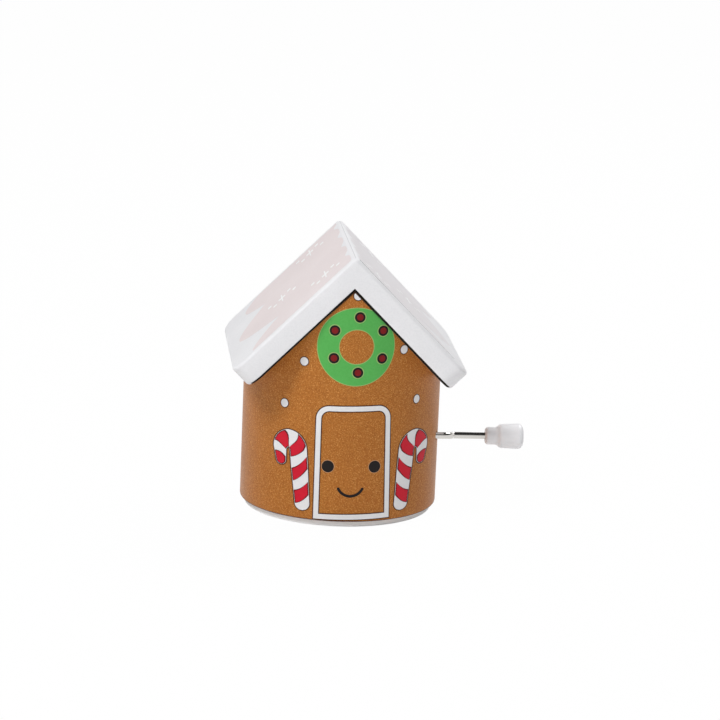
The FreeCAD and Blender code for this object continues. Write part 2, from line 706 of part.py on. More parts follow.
def comb():
    plate = block("comb_plate", "places.comb_back", "places.comb_front", "places.comb_bottom",
                  "sizes.comb_base + sizes.bass_length", "places.comb_width",
                  "sizes.comb_thickness")
    thinning = "(sizes.comb_thickness - sizes.tooth_thickness)"
    tools = [block("comb_relief", "places.comb_tip - sizes.treble_length",
                   f"places.comb_front - {CUT_PAST}", f"places.comb_bottom - {CUT_PAST}",
                   f"sizes.treble_length + {CUT_PAST}", f"places.comb_width + 2 * {CUT_PAST}",
                   f"{thinning} + {CUT_PAST}")]
    notes = round(number("sizes.note_count"))
    for note in range(1, notes):
        length = (f"(sizes.bass_length + (sizes.treble_length - sizes.bass_length)"
                  f" * {note} / sizes.note_count)")
        tools.append(block(f"comb_slit_{note}", f"places.comb_tip - {length}",
                           f"places.comb_front + {note} * sizes.track_pitch - sizes.tooth_gap / 2",
                           f"places.comb_bottom - {CUT_PAST}", f"{length} + {CUT_PAST}",
                           "sizes.tooth_gap", f"sizes.comb_thickness + 2 * {CUT_PAST}"))
    for index, (x, y) in enumerate(comb_screw_places(), start=1):
        tools.append(rod(f"comb_hole_{index}", "sizes.screw_radius + sizes.fit",
                         f"sizes.comb_thickness + 2 * {CUT_PAST}", x, y,
                         f"places.comb_bottom - {CUT_PAST}"))
    piece = cut("comb", plate, joined("comb_tools", tools))
    piece.Label = "comb"
    return piece


def bass_weights():
    weights = []
    for note in range(round(number("sizes.weight_count"))):
        weights.append(block(
            f"bass_weight_{note + 1}",
            "places.comb_tip - sizes.weight_inset - sizes.weight_length",
            f"places.comb_front + {note} * sizes.track_pitch + sizes.tooth_gap / 2",
            "places.drum_z - sizes.weight_height",
            "sizes.weight_length", "sizes.track_pitch - sizes.tooth_gap", "sizes.weight_height"))
    return group("bass_weights", weights)


# Drum

def drum_sleeve():
    """A thin tube with raised pins, spread over the tracks by a fixed stride."""
    tube = cut("drum_tube",
               drum_rod("drum_outside", "sizes.drum_radius", "places.sleeve_front",
                        "places.drum_length"),
               drum_rod("drum_inside", "sizes.drum_radius - sizes.drum_wall",
                        "places.sleeve_front", "places.drum_length"))
    pins = []
    count = round(number("sizes.pin_count"))
    notes = round(number("sizes.note_count"))
    for index in range(count):
        angle = 360.0 * index / count
        track = index * TRACK_STRIDE % notes
        foot = "(sizes.drum_radius - sizes.drum_wall / 2)"
        pins.append(rod(f"drum_pin_{index + 1}", "sizes.pin_radius",
                        "sizes.pin_height + sizes.drum_wall / 2",
                        f"places.drum_x + {foot} * sin({angle})",
                        f"places.comb_front + ({track} + 0.5) * sizes.track_pitch",
                        f"places.drum_z + {foot} * cos({angle})",
                        FreeCAD.Rotation(Y_AXIS, angle)))
    piece = joined("drum_sleeve", [tube] + pins)
    piece.Label = "drum_sleeve"
    return piece


def drum_cap(label, start):
    disc = drum_rod(f"{label}_disc", "sizes.drum_radius - sizes.drum_wall - sizes.fit", start,
                    "sizes.cap_thickness")
    bore = drum_rod(f"{label}_bore", "sizes.arbor_radius + sizes.fit", start,
                    "sizes.cap_thickness")
    piece = cut(label, disc, bore)
    piece.Label = label
    return piece


def clip_starts():
    """Where each arbor clip begins along the arbor, front and back."""
    return (("front", "places.front_post - sizes.clip_gap - sizes.clip_thickness"),
            ("back", "places.back_post + sizes.clip_gap"))


def drum_arbor():
    past_post = "(sizes.clip_gap + sizes.clip_thickness + sizes.arbor_end)"
    bar = drum_rod("arbor_bar", "sizes.arbor_radius", f"places.front_post - {past_post}",
                   f"places.back_post - places.front_post + 2 * {past_post}")
    grooves = []
    for end, start in clip_starts():
        begin = f"{start} - sizes.fit"
        width = "sizes.clip_thickness + 2 * sizes.fit"
        grooves.append(cut(f"arbor_groove_{end}",
                           drum_rod(f"groove_outside_{end}", "2 * sizes.arbor_radius", begin, width),
                           drum_rod(f"groove_inside_{end}", "sizes.arbor_radius - sizes.clip_groove",
                                    begin, width)))
    piece = cut("drum_arbor", bar, joined("arbor_grooves", grooves))
    piece.Label = "drum_arbor"
    return piece


def arbor_clips():
    """Open spring clips in the arbor's grooves."""
    clips = []
    inside = "(sizes.arbor_radius - sizes.clip_groove + sizes.fit)"
    for end, start in clip_starts():
        disc = drum_rod(f"clip_disc_{end}", "sizes.clip_radius", start, "sizes.clip_thickness")
        bore = drum_rod(f"clip_bore_{end}", inside, start, "sizes.clip_thickness")
        mouth = block(f"clip_mouth_{end}", "places.drum_x - sizes.clip_mouth / 2", start,
                      "places.drum_z - 2 * sizes.clip_radius", "sizes.clip_mouth",
                      "sizes.clip_thickness", "2 * sizes.clip_radius")
        clips.append(cut(f"arbor_clip_{end}", disc, joined(f"clip_tools_{end}", [bore, mouth])))
    return group("arbor_clips", clips)


def drum_wheel():
    body = new_body("drum_wheel")
    put(body, "places.drum_x", "places.crank_y", "places.drum_z")
    disc = new_sketch(body, "wheel_disc", "XZ_Plane")
    circle(disc, "0", "0", "places.wheel_root")
    extrude(body, disc, "sizes.wheel_width", symmetric=True)

    hub = new_sketch(body, "wheel_hub", "XZ_Plane", "-places.sleeve_reach")
    circle(hub, "0", "0", "sizes.hub_radius")
    hub_length = "(places.sleeve_reach + sizes.wheel_width / 2 + sizes.wheel_hub)"
    extrude(body, hub, hub_length)

    bore = new_sketch(body, "wheel_bore", "XZ_Plane")
    circle(bore, "0", "0", "sizes.arbor_radius + sizes.fit")
    extrude(body, bore, f"2 * {hub_length}", "Pocket", symmetric=True)

    tooth = new_sketch(body, "wheel_tooth", "XZ_Plane")
    foot = "(places.tooth_half + places.tooth_depth * places.flank_slope)"
    tip = "(places.tooth_half - sizes.gear_module * places.flank_slope)"
    sunk = "places.wheel_root - places.tooth_depth / 2"
    outline(tooth, [(f"-{foot}", sunk), (foot, sunk), (foot, "places.wheel_root"),
                    (tip, "places.wheel_tip"), (f"-{tip}", "places.wheel_tip"),
                    (f"-{foot}", "places.wheel_root")])
    first = extrude(body, tooth, "sizes.wheel_width", symmetric=True)

    doc.recompute()
    ring = body.newObject("PartDesign::PolarPattern", "wheel_teeth")
    ring.Originals = [first]
    axis = next(item for item in body.Origin.OriginFeatures if item.Role == "Y_Axis")
    ring.Axis = (axis, [""])
    ring.Angle = 360
    bind(ring, Occurrences="sizes.wheel_teeth")
    body.Tip = ring
    return body


# Crank

def crank_worm():
    body = new_body("crank_worm")
    put(body, "places.drum_x", "places.crank_y", "places.crank_z")
    section = new_sketch(body, "worm_section", "XY_Plane")
    end = "(places.ear_inner - sizes.thrust_gap)"
    collar = f"({end} - sizes.collar_length)"
    bore = "sizes.wire_radius + sizes.fit"
    outline(section, [
        (f"-{end}", bore),
        (end, bore),
        (end, "sizes.worm_pitch_radius"),
        (collar, "sizes.worm_pitch_radius"),
        (collar, "places.worm_root"),
        (f"-{collar}", "places.worm_root"),
        (f"-{collar}", "sizes.worm_pitch_radius"),
        (f"-{end}", "sizes.worm_pitch_radius"),
    ])
    revolve(body, section, "H_Axis")

    ridge = new_sketch(body, "thread_ridge", "XZ_Plane")
    start = "(-places.thread_pitch * sizes.thread_turns / 2)"
    foot = "(places.tooth_half + places.tooth_depth * places.flank_slope)"
    tip = "(places.tooth_half - sizes.gear_module * places.flank_slope)"
    sunk = "-(places.worm_root - places.tooth_depth / 4)"
    outline(ridge, [
        (f"{start} - {foot}", sunk),
        (f"{start} - {foot}", "-places.worm_root"),
        (f"{start} - {tip}", "-places.worm_tip"),
        (f"{start} + {tip}", "-places.worm_tip"),
        (f"{start} + {foot}", "-places.worm_root"),
        (f"{start} + {foot}", sunk),
    ])
    doc.recompute()
    thread = body.newObject("PartDesign::AdditiveHelix", "worm_thread")
    thread.Profile = ridge
    thread.ReferenceAxis = (ridge, ["H_Axis"])
    thread.Mode = "pitch-turns-angle"
    bind(thread, Pitch="places.thread_pitch", Turns="sizes.thread_turns")
    return body


def put_on_crank(body):
    """Place a body on the crank's axis, turned to the crank's rest angle."""
    put(body, "0", "places.crank_y", "places.crank_z", FreeCAD.Rotation(X_AXIS, -1))
    body.setExpression("Placement.Rotation.Angle", "sizes.crank_rest_angle")
    body.Placement.Rotation.Axis = FreeCAD.Vector(-1, 0, 0)


def crank_wire():
    """Round wire bent twice: axle, arm and knob spindle in one plane."""
    body = new_body("crank_wire")
    put_on_crank(body)
    path = new_sketch(body, "wire_path", "XY_Plane")
    throw = "(-sizes.arm_length)"
    bend = "sizes.bend_radius"
    outline(path, [
        ("places.wire_start", "0"),
        (f"places.arm_x - {bend}", "0", bend, -1),
        ("places.arm_x", f"-{bend}"),
        ("places.arm_x", f"{throw} + {bend}", bend, 1),
        (f"places.arm_x + {bend}", throw),
        ("places.wire_end", throw),
    ], closed=False)
    section = new_sketch(body, "wire_section", "YZ_Plane", "places.wire_start")
    circle(section, "0", "0", "sizes.wire_radius")
    doc.recompute()
    wire = body.newObject("PartDesign::AdditivePipe", "wire_bent")
    wire.Profile = section
    wire.Spine = (path, [])

    bead = new_sketch(body, "wire_bead", "XY_Plane", shift=throw)
    inside = "sizes.wire_radius / 2"
    crest = "sizes.wire_radius + sizes.bead_height"
    outline(bead, [
        ("places.bead_start", inside),
        ("places.bead_end", inside),
        ("places.bead_end", "sizes.wire_radius"),
        ("places.bead_end - sizes.bead_length / 4", crest),
        ("places.bead_start + sizes.bead_length / 4", crest),
        ("places.bead_start", "sizes.wire_radius"),
    ])
    revolve(body, bead, "H_Axis")
    return body


def crank_knob():
    """Moulded knob with a narrow neck, snapped over the wire's bead."""
    body = new_body("crank_knob")
    put_on_crank(body)
    section = new_sketch(body, "knob_section", "XY_Plane", shift="-sizes.arm_length")
    start = "places.knob_start"
    end = "(places.knob_start + sizes.knob_length)"
    bore = "(sizes.wire_radius + sizes.running)"
    groove = "(sizes.wire_radius + sizes.bead_height + sizes.running)"
    bore_end = "(places.wire_end + sizes.running)"
    shoulder = f"({start} + sizes.neck_length)"
    rise = "(sizes.barrel_inner_radius - sizes.neck_radius)"
    swell = f"((sizes.shoulder_length ^ 2 + {rise} ^ 2) / (4 * {rise}))"
    flat = "(sizes.barrel_radius - sizes.end_round)"
    dome = f"(({flat} ^ 2 + sizes.end_dome ^ 2) / (2 * sizes.end_dome))"
    cheek = f"({end} - sizes.end_dome)"
    outline(section, [
        (start, bore),
        ("places.bead_start - sizes.running", bore),
        ("places.bead_start - sizes.running", groove),
        ("places.bead_end + sizes.running", groove),
        ("places.bead_end + sizes.running", bore),
        (bore_end, bore),
        (bore_end, "0"),
        (end, "0", dome, 1),
        (cheek, flat, "sizes.end_round", 1),
        (f"{cheek} - sizes.end_round", "sizes.barrel_radius"),
        (f"{shoulder} + sizes.shoulder_length", "sizes.barrel_inner_radius", swell, 1),
        (f"{shoulder} + sizes.shoulder_length / 2", f"sizes.neck_radius + {rise} / 2", swell, -1),
        (shoulder, "sizes.neck_radius"),
        (f"{start} + sizes.neck_round", "sizes.neck_radius", "sizes.neck_round", 1),
        (start, "sizes.neck_radius - sizes.neck_round"),
    ])
    revolve(body, section, "H_Axis")
    return body


pieces = [
    house_body(),
    roof_board("roof_board_left", -1),
    roof_board("roof_board_right", 1),
    base_plate(),
    base_screws(),
    bedplate(),
    movement_screws(),
    comb(),
    top_screws("comb_screws", comb_screw_places(), "places.comb_bottom + sizes.comb_thickness",
               "(sizes.comb_thickness + sizes.bed_thickness - sizes.fit)"),
    bass_weights(),
    drum_sleeve(),
    drum_cap("drum_cap_front", "places.sleeve_front"),
    drum_cap("drum_cap_back", "places.sleeve_back - sizes.cap_thickness"),
    drum_arbor(),
    drum_wheel(),
    arbor_clips(),
    crank_bracket(),
    top_screws("bracket_screws", bracket_screw_places(), "places.foot_top",
               "(sizes.bracket_thickness + sizes.bed_thickness - sizes.fit)"),
    crank_wire(),
    crank_worm(),
    crank_knob(),
]
doc.recompute()

for item in doc.Objects:
    if "Invalid" in item.State or "Error" in item.State:
        raise RuntimeError(f"{item.Name} failed: {item.State}")
for piece in pieces:
    if piece.Shape.isNull() or not piece.Shape.isValid():
        raise RuntimeError(f"{piece.Label} has no valid shape")

os.makedirs("parts", exist_ok=True)
for piece in pieces:
    piece.Shape.exportStep(f"parts/{piece.Label}.step")
    print(piece.Label, len(piece.Shape.Solids), round(piece.Shape.Volume, 2))
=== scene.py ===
"""Looks of the hand-crank music box: painted wood, printed ink, bent wire and a moulded knob.

Lengths are in metres, in the part's own frame: +Z up, front towards -Y, crank towards +X.
"""
import json
import math

import bmesh
import bpy
from mathutils import Matrix, Vector

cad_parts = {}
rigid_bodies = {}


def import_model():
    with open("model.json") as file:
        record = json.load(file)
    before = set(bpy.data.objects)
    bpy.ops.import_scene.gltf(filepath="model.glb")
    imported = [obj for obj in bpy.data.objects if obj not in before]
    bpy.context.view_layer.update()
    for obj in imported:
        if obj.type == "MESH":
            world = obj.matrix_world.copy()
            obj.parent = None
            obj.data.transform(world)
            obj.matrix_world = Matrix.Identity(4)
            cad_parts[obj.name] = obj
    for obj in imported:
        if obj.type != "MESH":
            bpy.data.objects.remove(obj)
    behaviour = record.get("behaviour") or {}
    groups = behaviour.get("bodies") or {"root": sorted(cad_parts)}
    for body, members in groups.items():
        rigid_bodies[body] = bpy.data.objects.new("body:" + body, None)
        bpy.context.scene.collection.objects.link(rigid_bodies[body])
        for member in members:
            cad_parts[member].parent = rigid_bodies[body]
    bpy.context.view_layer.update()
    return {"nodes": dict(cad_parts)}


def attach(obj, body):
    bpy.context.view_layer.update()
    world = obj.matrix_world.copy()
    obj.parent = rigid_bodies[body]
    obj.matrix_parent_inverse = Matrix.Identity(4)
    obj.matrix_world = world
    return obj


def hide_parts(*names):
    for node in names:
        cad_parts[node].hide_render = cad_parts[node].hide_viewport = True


for leftover in list(bpy.data.objects):
    bpy.data.objects.remove(leftover)

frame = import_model()

MM = 0.001

# Sizes of the case, as the solids have them
BODY_RADIUS = 31.9985 * MM
BODY_BOTTOM = 2.0 * MM
BODY_ROUND = 0.8 * MM
BORE_RADIUS = 25.9985 * MM
BORE_TOP = 40.1 * MM
APEX = 77.1285 * MM
EAVE_X = 32.0985 * MM
ROOF_THICKNESS = 8.0 * MM
ROOF_HALF_DEPTH = 32.4985 * MM
ROOF_CORNER = 6.0 * MM
ROOF_ROUND = 1.2 * MM
RIDGE_ROUND = 1.8 * MM
CRANK_Y = -8.53 * MM
CRANK_Z = 25.1 * MM
CRANK_HOLE = 1.6 * MM
PILOT_CIRCLE = 28.2485 * MM
PILOT_RADIUS = 0.92 * MM
PILOT_DEPTH = 8.0 * MM
PILOT_ANGLES = (90, 210, 330)
SLOPE = math.radians(45)
RIDGE = APEX + ROOF_THICKNESS / math.cos(SLOPE)
RIDGE_CENTRE = RIDGE - RIDGE_ROUND / math.cos(SLOPE)
RIDGE_TOP = RIDGE_CENTRE + RIDGE_ROUND
RIDGE_SIDE_X = RIDGE_ROUND * math.sin(SLOPE)
RIDGE_SIDE_Z = RIDGE_CENTRE + RIDGE_ROUND * math.cos(SLOPE)

# How finely the pieces are made
WALL_STEPS = 240
DRILL_STEPS = 48
DISC_STEPS = 40
RING_STEPS = 96
RIDGE_STEPS = 8
FOOT_STEPS = 5
ROOF_EDGE_STEPS = 6
ROOF_CORNER_STEPS = 10
ROUND_PROFILE = 0.5
SHARP = math.radians(32)
SAME_POINT = 0.001 * MM

# The print is a stack of thin ink layers that reach a little into the paint
INK = 0.05 * MM
INK_SUNK = -0.03 * MM
PRINT_STEP = 1.2 * MM


# Meshes

def as_mesh(name, bm):
    """Store a bmesh as a mesh, and let the bmesh go."""
    mesh = bpy.data.meshes.new(name)
    bm.to_mesh(mesh)
    bm.free()
    return mesh


def in_scene(name, data):
    """Put a mesh, lamp or lens into the scene as an object."""
    item = bpy.data.objects.new(name, data)
    bpy.context.scene.collection.objects.link(item)
    return item


def new_piece(name, bm, material):
    """Turn a bmesh into a piece of the case."""
    bmesh.ops.remove_doubles(bm, verts=bm.verts[:], dist=SAME_POINT)
    bmesh.ops.recalc_face_normals(bm, faces=bm.faces[:])
    for face in bm.faces:
        face.smooth = True
    for edge in bm.edges:
        edge.smooth = edge.calc_face_angle(0.0) < SHARP
    mesh = as_mesh(name, bm)
    mesh.materials.append(material)
    piece = in_scene(name, mesh)
    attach(piece, "case")
    return piece


def merged(shapes):
    """Put several finished shapes into one bmesh."""
    whole = bmesh.new()
    for shape in shapes:
        mesh = as_mesh("shape", shape)
        whole.from_mesh(mesh)
        bpy.data.meshes.remove(mesh)
    return whole


def everything(bm):
    return bm.verts[:] + bm.edges[:] + bm.faces[:]


def trim(bm, point, normal):
    """Cut away what lies beyond a plane and close the cut."""
    cut = bmesh.ops.bisect_plane(bm, geom=everything(bm), dist=SAME_POINT, plane_co=point,
                                 plane_no=normal, clear_outer=True)
    edges = [item for item in cut["geom_cut"] if isinstance(item, bmesh.types.BMEdge)]
    if edges:
        bmesh.ops.edgeloop_fill(bm, edges=edges)


def drill(piece, radius, start, end):
    """Cut a round hole through a piece."""
    start, end = Vector(start), Vector(end)
    axis = end - start
    bm = bmesh.new()
    turn = axis.to_track_quat("Z", "Y").to_matrix().to_4x4()
    half_step = Matrix.Rotation(math.pi / DRILL_STEPS, 4, "Z")
    place = Matrix.Translation((start + end) / 2) @ turn @ half_step
    bmesh.ops.create_cone(bm, cap_ends=True, segments=DRILL_STEPS, radius1=radius, radius2=radius,
                          depth=axis.length, matrix=place)
    bit = in_scene("drill", as_mesh("drill", bm))
    hole = piece.modifiers.new("hole", "BOOLEAN")
    hole.object = bit
    hole.solver = "EXACT"
    ready = piece.evaluated_get(bpy.context.evaluated_depsgraph_get())
    piece.data = bpy.data.meshes.new_from_object(ready)
    piece.modifiers.clear()
    bpy.data.objects.remove(bit)


def slope_normal(side):
    return Vector((side * math.sin(SLOPE), 0, math.cos(SLOPE)))


def down_slope(side):
    return Vector((side * math.cos(SLOPE), 0, -math.sin(SLOPE)))


def turned_body(material):
    """The turned wooden body: a thick wall, a bore from below and a gable-cut top."""
    bm = bmesh.new()
    over = APEX + ROOF_THICKNESS
    profile = [(0, BORE_TOP), (BORE_RADIUS, BORE_TOP), (BORE_RADIUS, BODY_BOTTOM),
               (BODY_RADIUS, BODY_BOTTOM), (BODY_RADIUS, over), (0, over)]
    verts = [bm.verts.new((x, 0, z)) for x, z in profile]
    edges = [bm.edges.new(pair) for pair in zip(verts, verts[1:])]
    bmesh.ops.spin(bm, geom=verts + edges, axis=(0, 0, 1), cent=(0, 0, 0),
                   angle=math.tau, steps=WALL_STEPS, use_merge=True)
    bmesh.ops.remove_doubles(bm, verts=bm.verts[:], dist=SAME_POINT)
    bmesh.ops.recalc_face_normals(bm, faces=bm.faces[:])
    rim = [edge for edge in bm.edges
           if all(abs(v.co.z - BODY_BOTTOM) < SAME_POINT for v in edge.verts)
           and all(v.co.xy.length > BODY_RADIUS - SAME_POINT for v in edge.verts)]
    bmesh.ops.bevel(bm, geom=rim, offset=BODY_ROUND, segments=FOOT_STEPS, profile=ROUND_PROFILE,
                    affect="EDGES", material=-1)
    for side in (-1, 1):
        trim(bm, (0, 0, APEX), slope_normal(side))
    piece = new_piece("turned_body", bm, material)
    drill(piece, CRANK_HOLE, (BORE_RADIUS / 2, CRANK_Y, CRANK_Z),
          (BODY_RADIUS + BODY_ROUND, CRANK_Y, CRANK_Z))
    for angle in PILOT_ANGLES:
        x = PILOT_CIRCLE * math.cos(math.radians(angle))
        y = PILOT_CIRCLE * math.sin(math.radians(angle))
        drill(piece, PILOT_RADIUS, (x, y, BODY_BOTTOM - BODY_ROUND), (x, y, BODY_BOTTOM + PILOT_DEPTH))
    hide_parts("house_body")


def roof_board(name, node, side, material):
    """One sloping board, mitred at the ridge, with eased edges and rounder eave corners."""
    bm = bmesh.new()
    reach = ROOF_THICKNESS * math.sin(SLOPE)
    eave_z = APEX - EAVE_X * math.tan(SLOPE)
    section = [(0, APEX), (EAVE_X, eave_z), (EAVE_X + reach, eave_z + reach),
               (RIDGE_SIDE_X, RIDGE_SIDE_Z)]
    verts = [bm.verts.new((side * x, -ROOF_HALF_DEPTH, z)) for x, z in section]
    for pair in zip(verts, verts[1:]):
        bm.edges.new(pair)
    arc = bmesh.ops.spin(bm, geom=[verts[-1]], cent=(0, 0, RIDGE_CENTRE), axis=(0, -side, 0),
                         angle=SLOPE, steps=RIDGE_STEPS)
    bm.edges.new((arc["geom_last"][0], verts[0]))
    front = bmesh.ops.edgeloop_fill(bm, edges=bm.edges[:])["faces"]
    extruded = bmesh.ops.extrude_face_region(bm, geom=front)
    moved = [item for item in extruded["geom"] if isinstance(item, bmesh.types.BMVert)]
    bmesh.ops.translate(bm, verts=moved, vec=(0, 2 * ROOF_HALF_DEPTH, 0))
    bmesh.ops.recalc_face_normals(bm, faces=bm.faces[:])
    corners = [edge for edge in bm.edges
               if all(abs(v.co.x) > EAVE_X - SAME_POINT for v in edge.verts)
               and abs(edge.verts[0].co.y - edge.verts[1].co.y) < SAME_POINT]
    bmesh.ops.bevel(bm, geom=corners, offset=ROOF_CORNER, segments=ROOF_CORNER_STEPS,
                    profile=ROUND_PROFILE, affect="EDGES", material=-1)
    normal = slope_normal(side)
    levels = [normal.z * APEX, normal.z * RIDGE]
    rim = [edge for edge in bm.edges
           if max(abs(v.co.x) for v in edge.verts) > RIDGE_SIDE_X + SAME_POINT
           and any(all(abs(normal.dot(v.co) - level) < SAME_POINT for v in edge.verts)
                   for level in levels)]
    rim += [edge for edge in bm.edges
            if all(v.co.z > RIDGE_SIDE_Z - SAME_POINT for v in edge.verts)
            and abs(edge.verts[0].co.y - edge.verts[1].co.y) < SAME_POINT]
    bmesh.ops.bevel(bm, geom=rim, offset=ROOF_ROUND, segments=ROOF_EDGE_STEPS,
                    profile=ROUND_PROFILE, affect="EDGES", clamp_overlap=True, material=-1)
    piece = new_piece(name, bm, material)
    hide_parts(node)


# Printed shapes: flat first, x round the wall or along the roof, y up the wall or down the slope

def disc(x, y, radius):
    bm = bmesh.new()
    bmesh.ops.create_circle(bm, cap_ends=True, segments=DISC_STEPS, radius=radius,
                            matrix=Matrix.Translation((x, y, 0)))
    return bm


def ring(x, y, inner, outer):
    bm = bmesh.new()
    loops = []
    for radius in (inner, outer):
        loop = bmesh.ops.create_circle(bm, segments=RING_STEPS, radius=radius,
                                       matrix=Matrix.Translation((x, y, 0)))
        loops += {edge for vert in loop["verts"] for edge in vert.link_edges}
    bmesh.ops.bridge_loops(bm, edges=loops)
    return bm


def ribbon(path, start, end, half_width, along, across=2, leans=(0.0, 0.0), sag=0.0, round_ends=False):
    """A flat band along a path, with its ends slanted by leans, sagging or rounded off."""
    bm = bmesh.new()
    bmesh.ops.create_grid(bm, x_segments=along, y_segments=across, size=1.0)
    for vert in bm.verts:
        share = (vert.co.x + 1) / 2
        offset = vert.co.y
        travel = start + (end - start) * share
        width = half_width
        if round_ends:
            inset = min(travel - start, end - travel, width) / width
            width *= math.sqrt(max(0.0, 1 - (1 - inset) ** 2))
        lean = leans[0] + (leans[1] - leans[0]) * share
        point, out = path(travel + lean * offset - sag * (1 - offset ** 2))
        vert.co = (*(point + out * offset * width), 0)
    bmesh.ops.remove_doubles(bm, verts=bm.verts[:], dist=SAME_POINT)
    return bm


def straight(start, direction):
    """A straight path from a point."""
    start, direction = Vector(start), Vector(direction).normalized()
    across = Vector((-direction.y, direction.x))
    return lambda travel: (start + direction * travel, across)


def span(places, at):
    """The values at both ends of the stretch that a place lies in, and how far along it lies."""
    for (start, first), (end, last) in zip(places, places[1:]):
        if at <= end:
            break
    share = min(max((at - start) / (end - start), 0.0), 1.0)
    return first, last, share


def tilted(bm, centre, angle):
    """Turn a flat shape about a point."""
    bmesh.ops.rotate(bm, verts=bm.verts[:], cent=(*centre, 0),
                     matrix=Matrix.Rotation(angle, 3, "Z"))
    return bm


def pressed_on(bm):
    """Stretch a flat picture as it lands on the round wall when it is pressed on from the front."""
    for vert in bm.verts:
        vert.co.x = BODY_RADIUS * math.asin(vert.co.x / BODY_RADIUS)
    return bm


def give_depth(bm, low, high):
    """Make a flat shape a thin closed layer of ink."""
    for vert in bm.verts:
        vert.co.z = high
    extruded = bmesh.ops.extrude_face_region(bm, geom=bm.faces[:])
    for item in extruded["geom"]:
        if isinstance(item, bmesh.types.BMVert):
            item.co.z = low


def on_wall(bm, layer):
    """Wrap a flat shape round the body, and trim it under the roof."""
    give_depth(bm, INK_SUNK, layer * INK)
    left = min(vert.co.x for vert in bm.verts)
    right = max(vert.co.x for vert in bm.verts)
    for step in range(math.ceil(left / PRINT_STEP), math.ceil(right / PRINT_STEP)):
        bmesh.ops.bisect_plane(bm, geom=everything(bm), dist=SAME_POINT,
                               plane_co=(step * PRINT_STEP, 0, 0), plane_no=(1, 0, 0))
    for vert in bm.verts:
        around, height, out = vert.co
        angle = around / BODY_RADIUS
        radius = BODY_RADIUS + out
        vert.co = (radius * math.sin(angle), -radius * math.cos(angle), height)
    for side in (-1, 1):
        trim(bm, (0, 0, APEX - INK), slope_normal(side))
    return bm


def on_slope(bm, side, layer):
    """Lay a flat shape on a roof slope: x runs along the ridge, y down from it."""
    give_depth(bm, INK_SUNK, layer * INK)
    for vert in bm.verts:
        along, fall, out = vert.co
        vert.co = Vector((0, along, RIDGE)) + down_slope(side) * fall + slope_normal(side) * out
    return bm


def wall_print(name, shapes, material, layer=1):
    """Print flat shapes on the wall as one piece, in a layer of the stack."""
    new_piece(name, merged([on_wall(shape, layer) for shape in shapes]), material)


def roof_print(name, shapes, side, material, layer=1):
    """Print flat shapes on a roof slope as one piece."""
    new_piece(name, merged([on_slope(shape, side, layer) for shape in shapes]), material)


# Materials

# Patterns of the finishes: features per metre, and the part of the noise that is used
MOTTLE_SCALE = 55
MOTTLE_RANGE = (0.35, 0.65)
GRAIN_SCALE = 1700
GRAIN_RANGE = (0.42, 0.66)
FLECK_SCALE = 3000
FLECK_RANGE = (0.5, 0.75)
PEEL_SCALE = 520
TOOL_MARK_SCALE = 900
STAIN_SCALE = 130
STAIN_RANGE = (0.42, 0.72)
GLOSS_RANGE = (0.3, 0.7)

# What the patterns do to the gloss and to the relief
MOTTLE_DULLING = 0.05
FLECK_POLISH = 0.15
TOOL_MARK_POLISH = 0.07
TOOL_MARK_DULLING = 0.09
GRAIN_RELIEF = 0.35
RELIEF_DEPTH = 0.1 * MM

# Sockets of a Mix node when it mixes colours
MIX_SHARE = 0
MIX_FIRST = 6
MIX_SECOND = 7
MIX_RESULT = 2


def colour(red, green, blue):
    return (red, green, blue, 1.0)


def finish_group(name, inputs):
    """An empty finish: a vector and named inputs come in, colour, roughness and height go out."""
    tree = bpy.data.node_groups.new(name, "ShaderNodeTree")
    tree.interface.new_socket(name="Vector", in_out="INPUT", socket_type="NodeSocketVector")
    for label, value in inputs.items():
        kind = "NodeSocketColor" if isinstance(value, tuple) else "NodeSocketFloat"
        socket = tree.interface.new_socket(name=label, in_out="INPUT", socket_type=kind)
        socket.default_value = value
    for label, kind in (("Color", "NodeSocketColor"), ("Roughness", "NodeSocketFloat"),
                        ("Height", "NodeSocketFloat")):
        tree.interface.new_socket(name=label, in_out="OUTPUT", socket_type=kind)
    given = tree.nodes.new("NodeGroupInput").outputs
    result = tree.nodes.new("NodeGroupOutput").inputs
    return tree, given, result


def noise(tree, vector, scale, detail, roughness=0.55):
    node = tree.nodes.new("ShaderNodeTexNoise")
    node.inputs["Scale"].default_value = scale
    node.inputs["Detail"].default_value = detail
    node.inputs["Roughness"].default_value = roughness
    tree.links.new(vector, node.inputs["Vector"])
    return node.outputs["Fac"]


def stretch(tree, value, low, high, to_low=0.0, to_high=1.0):
    """Spread one range of a value over another, and cut off what lies beyond it."""
    node = tree.nodes.new("ShaderNodeMapRange")
    node.inputs["From Min"].default_value = low
    node.inputs["From Max"].default_value = high
    node.inputs["To Min"].default_value = to_low
    node.inputs["To Max"].default_value = to_high
    tree.links.new(value, node.inputs["Value"])
    return node.outputs["Result"]


def maths(tree, operation, first, second):
    """A sum on two values, each a plain number or another node's output."""
    node = tree.nodes.new("ShaderNodeMath")
    node.operation = operation
    for value, socket in zip((first, second), node.inputs):
        if isinstance(value, float):
            socket.default_value = value
        else:
            tree.links.new(value, socket)
    return node.outputs["Value"]


def blend_colours(tree, share, first, second):
    node = tree.nodes.new("ShaderNodeMix")
    node.data_type = "RGBA"
    tree.links.new(share, node.inputs[MIX_SHARE])
    tree.links.new(first, node.inputs[MIX_FIRST])
    tree.links.new(second, node.inputs[MIX_SECOND])
    return node.outputs[MIX_RESULT]


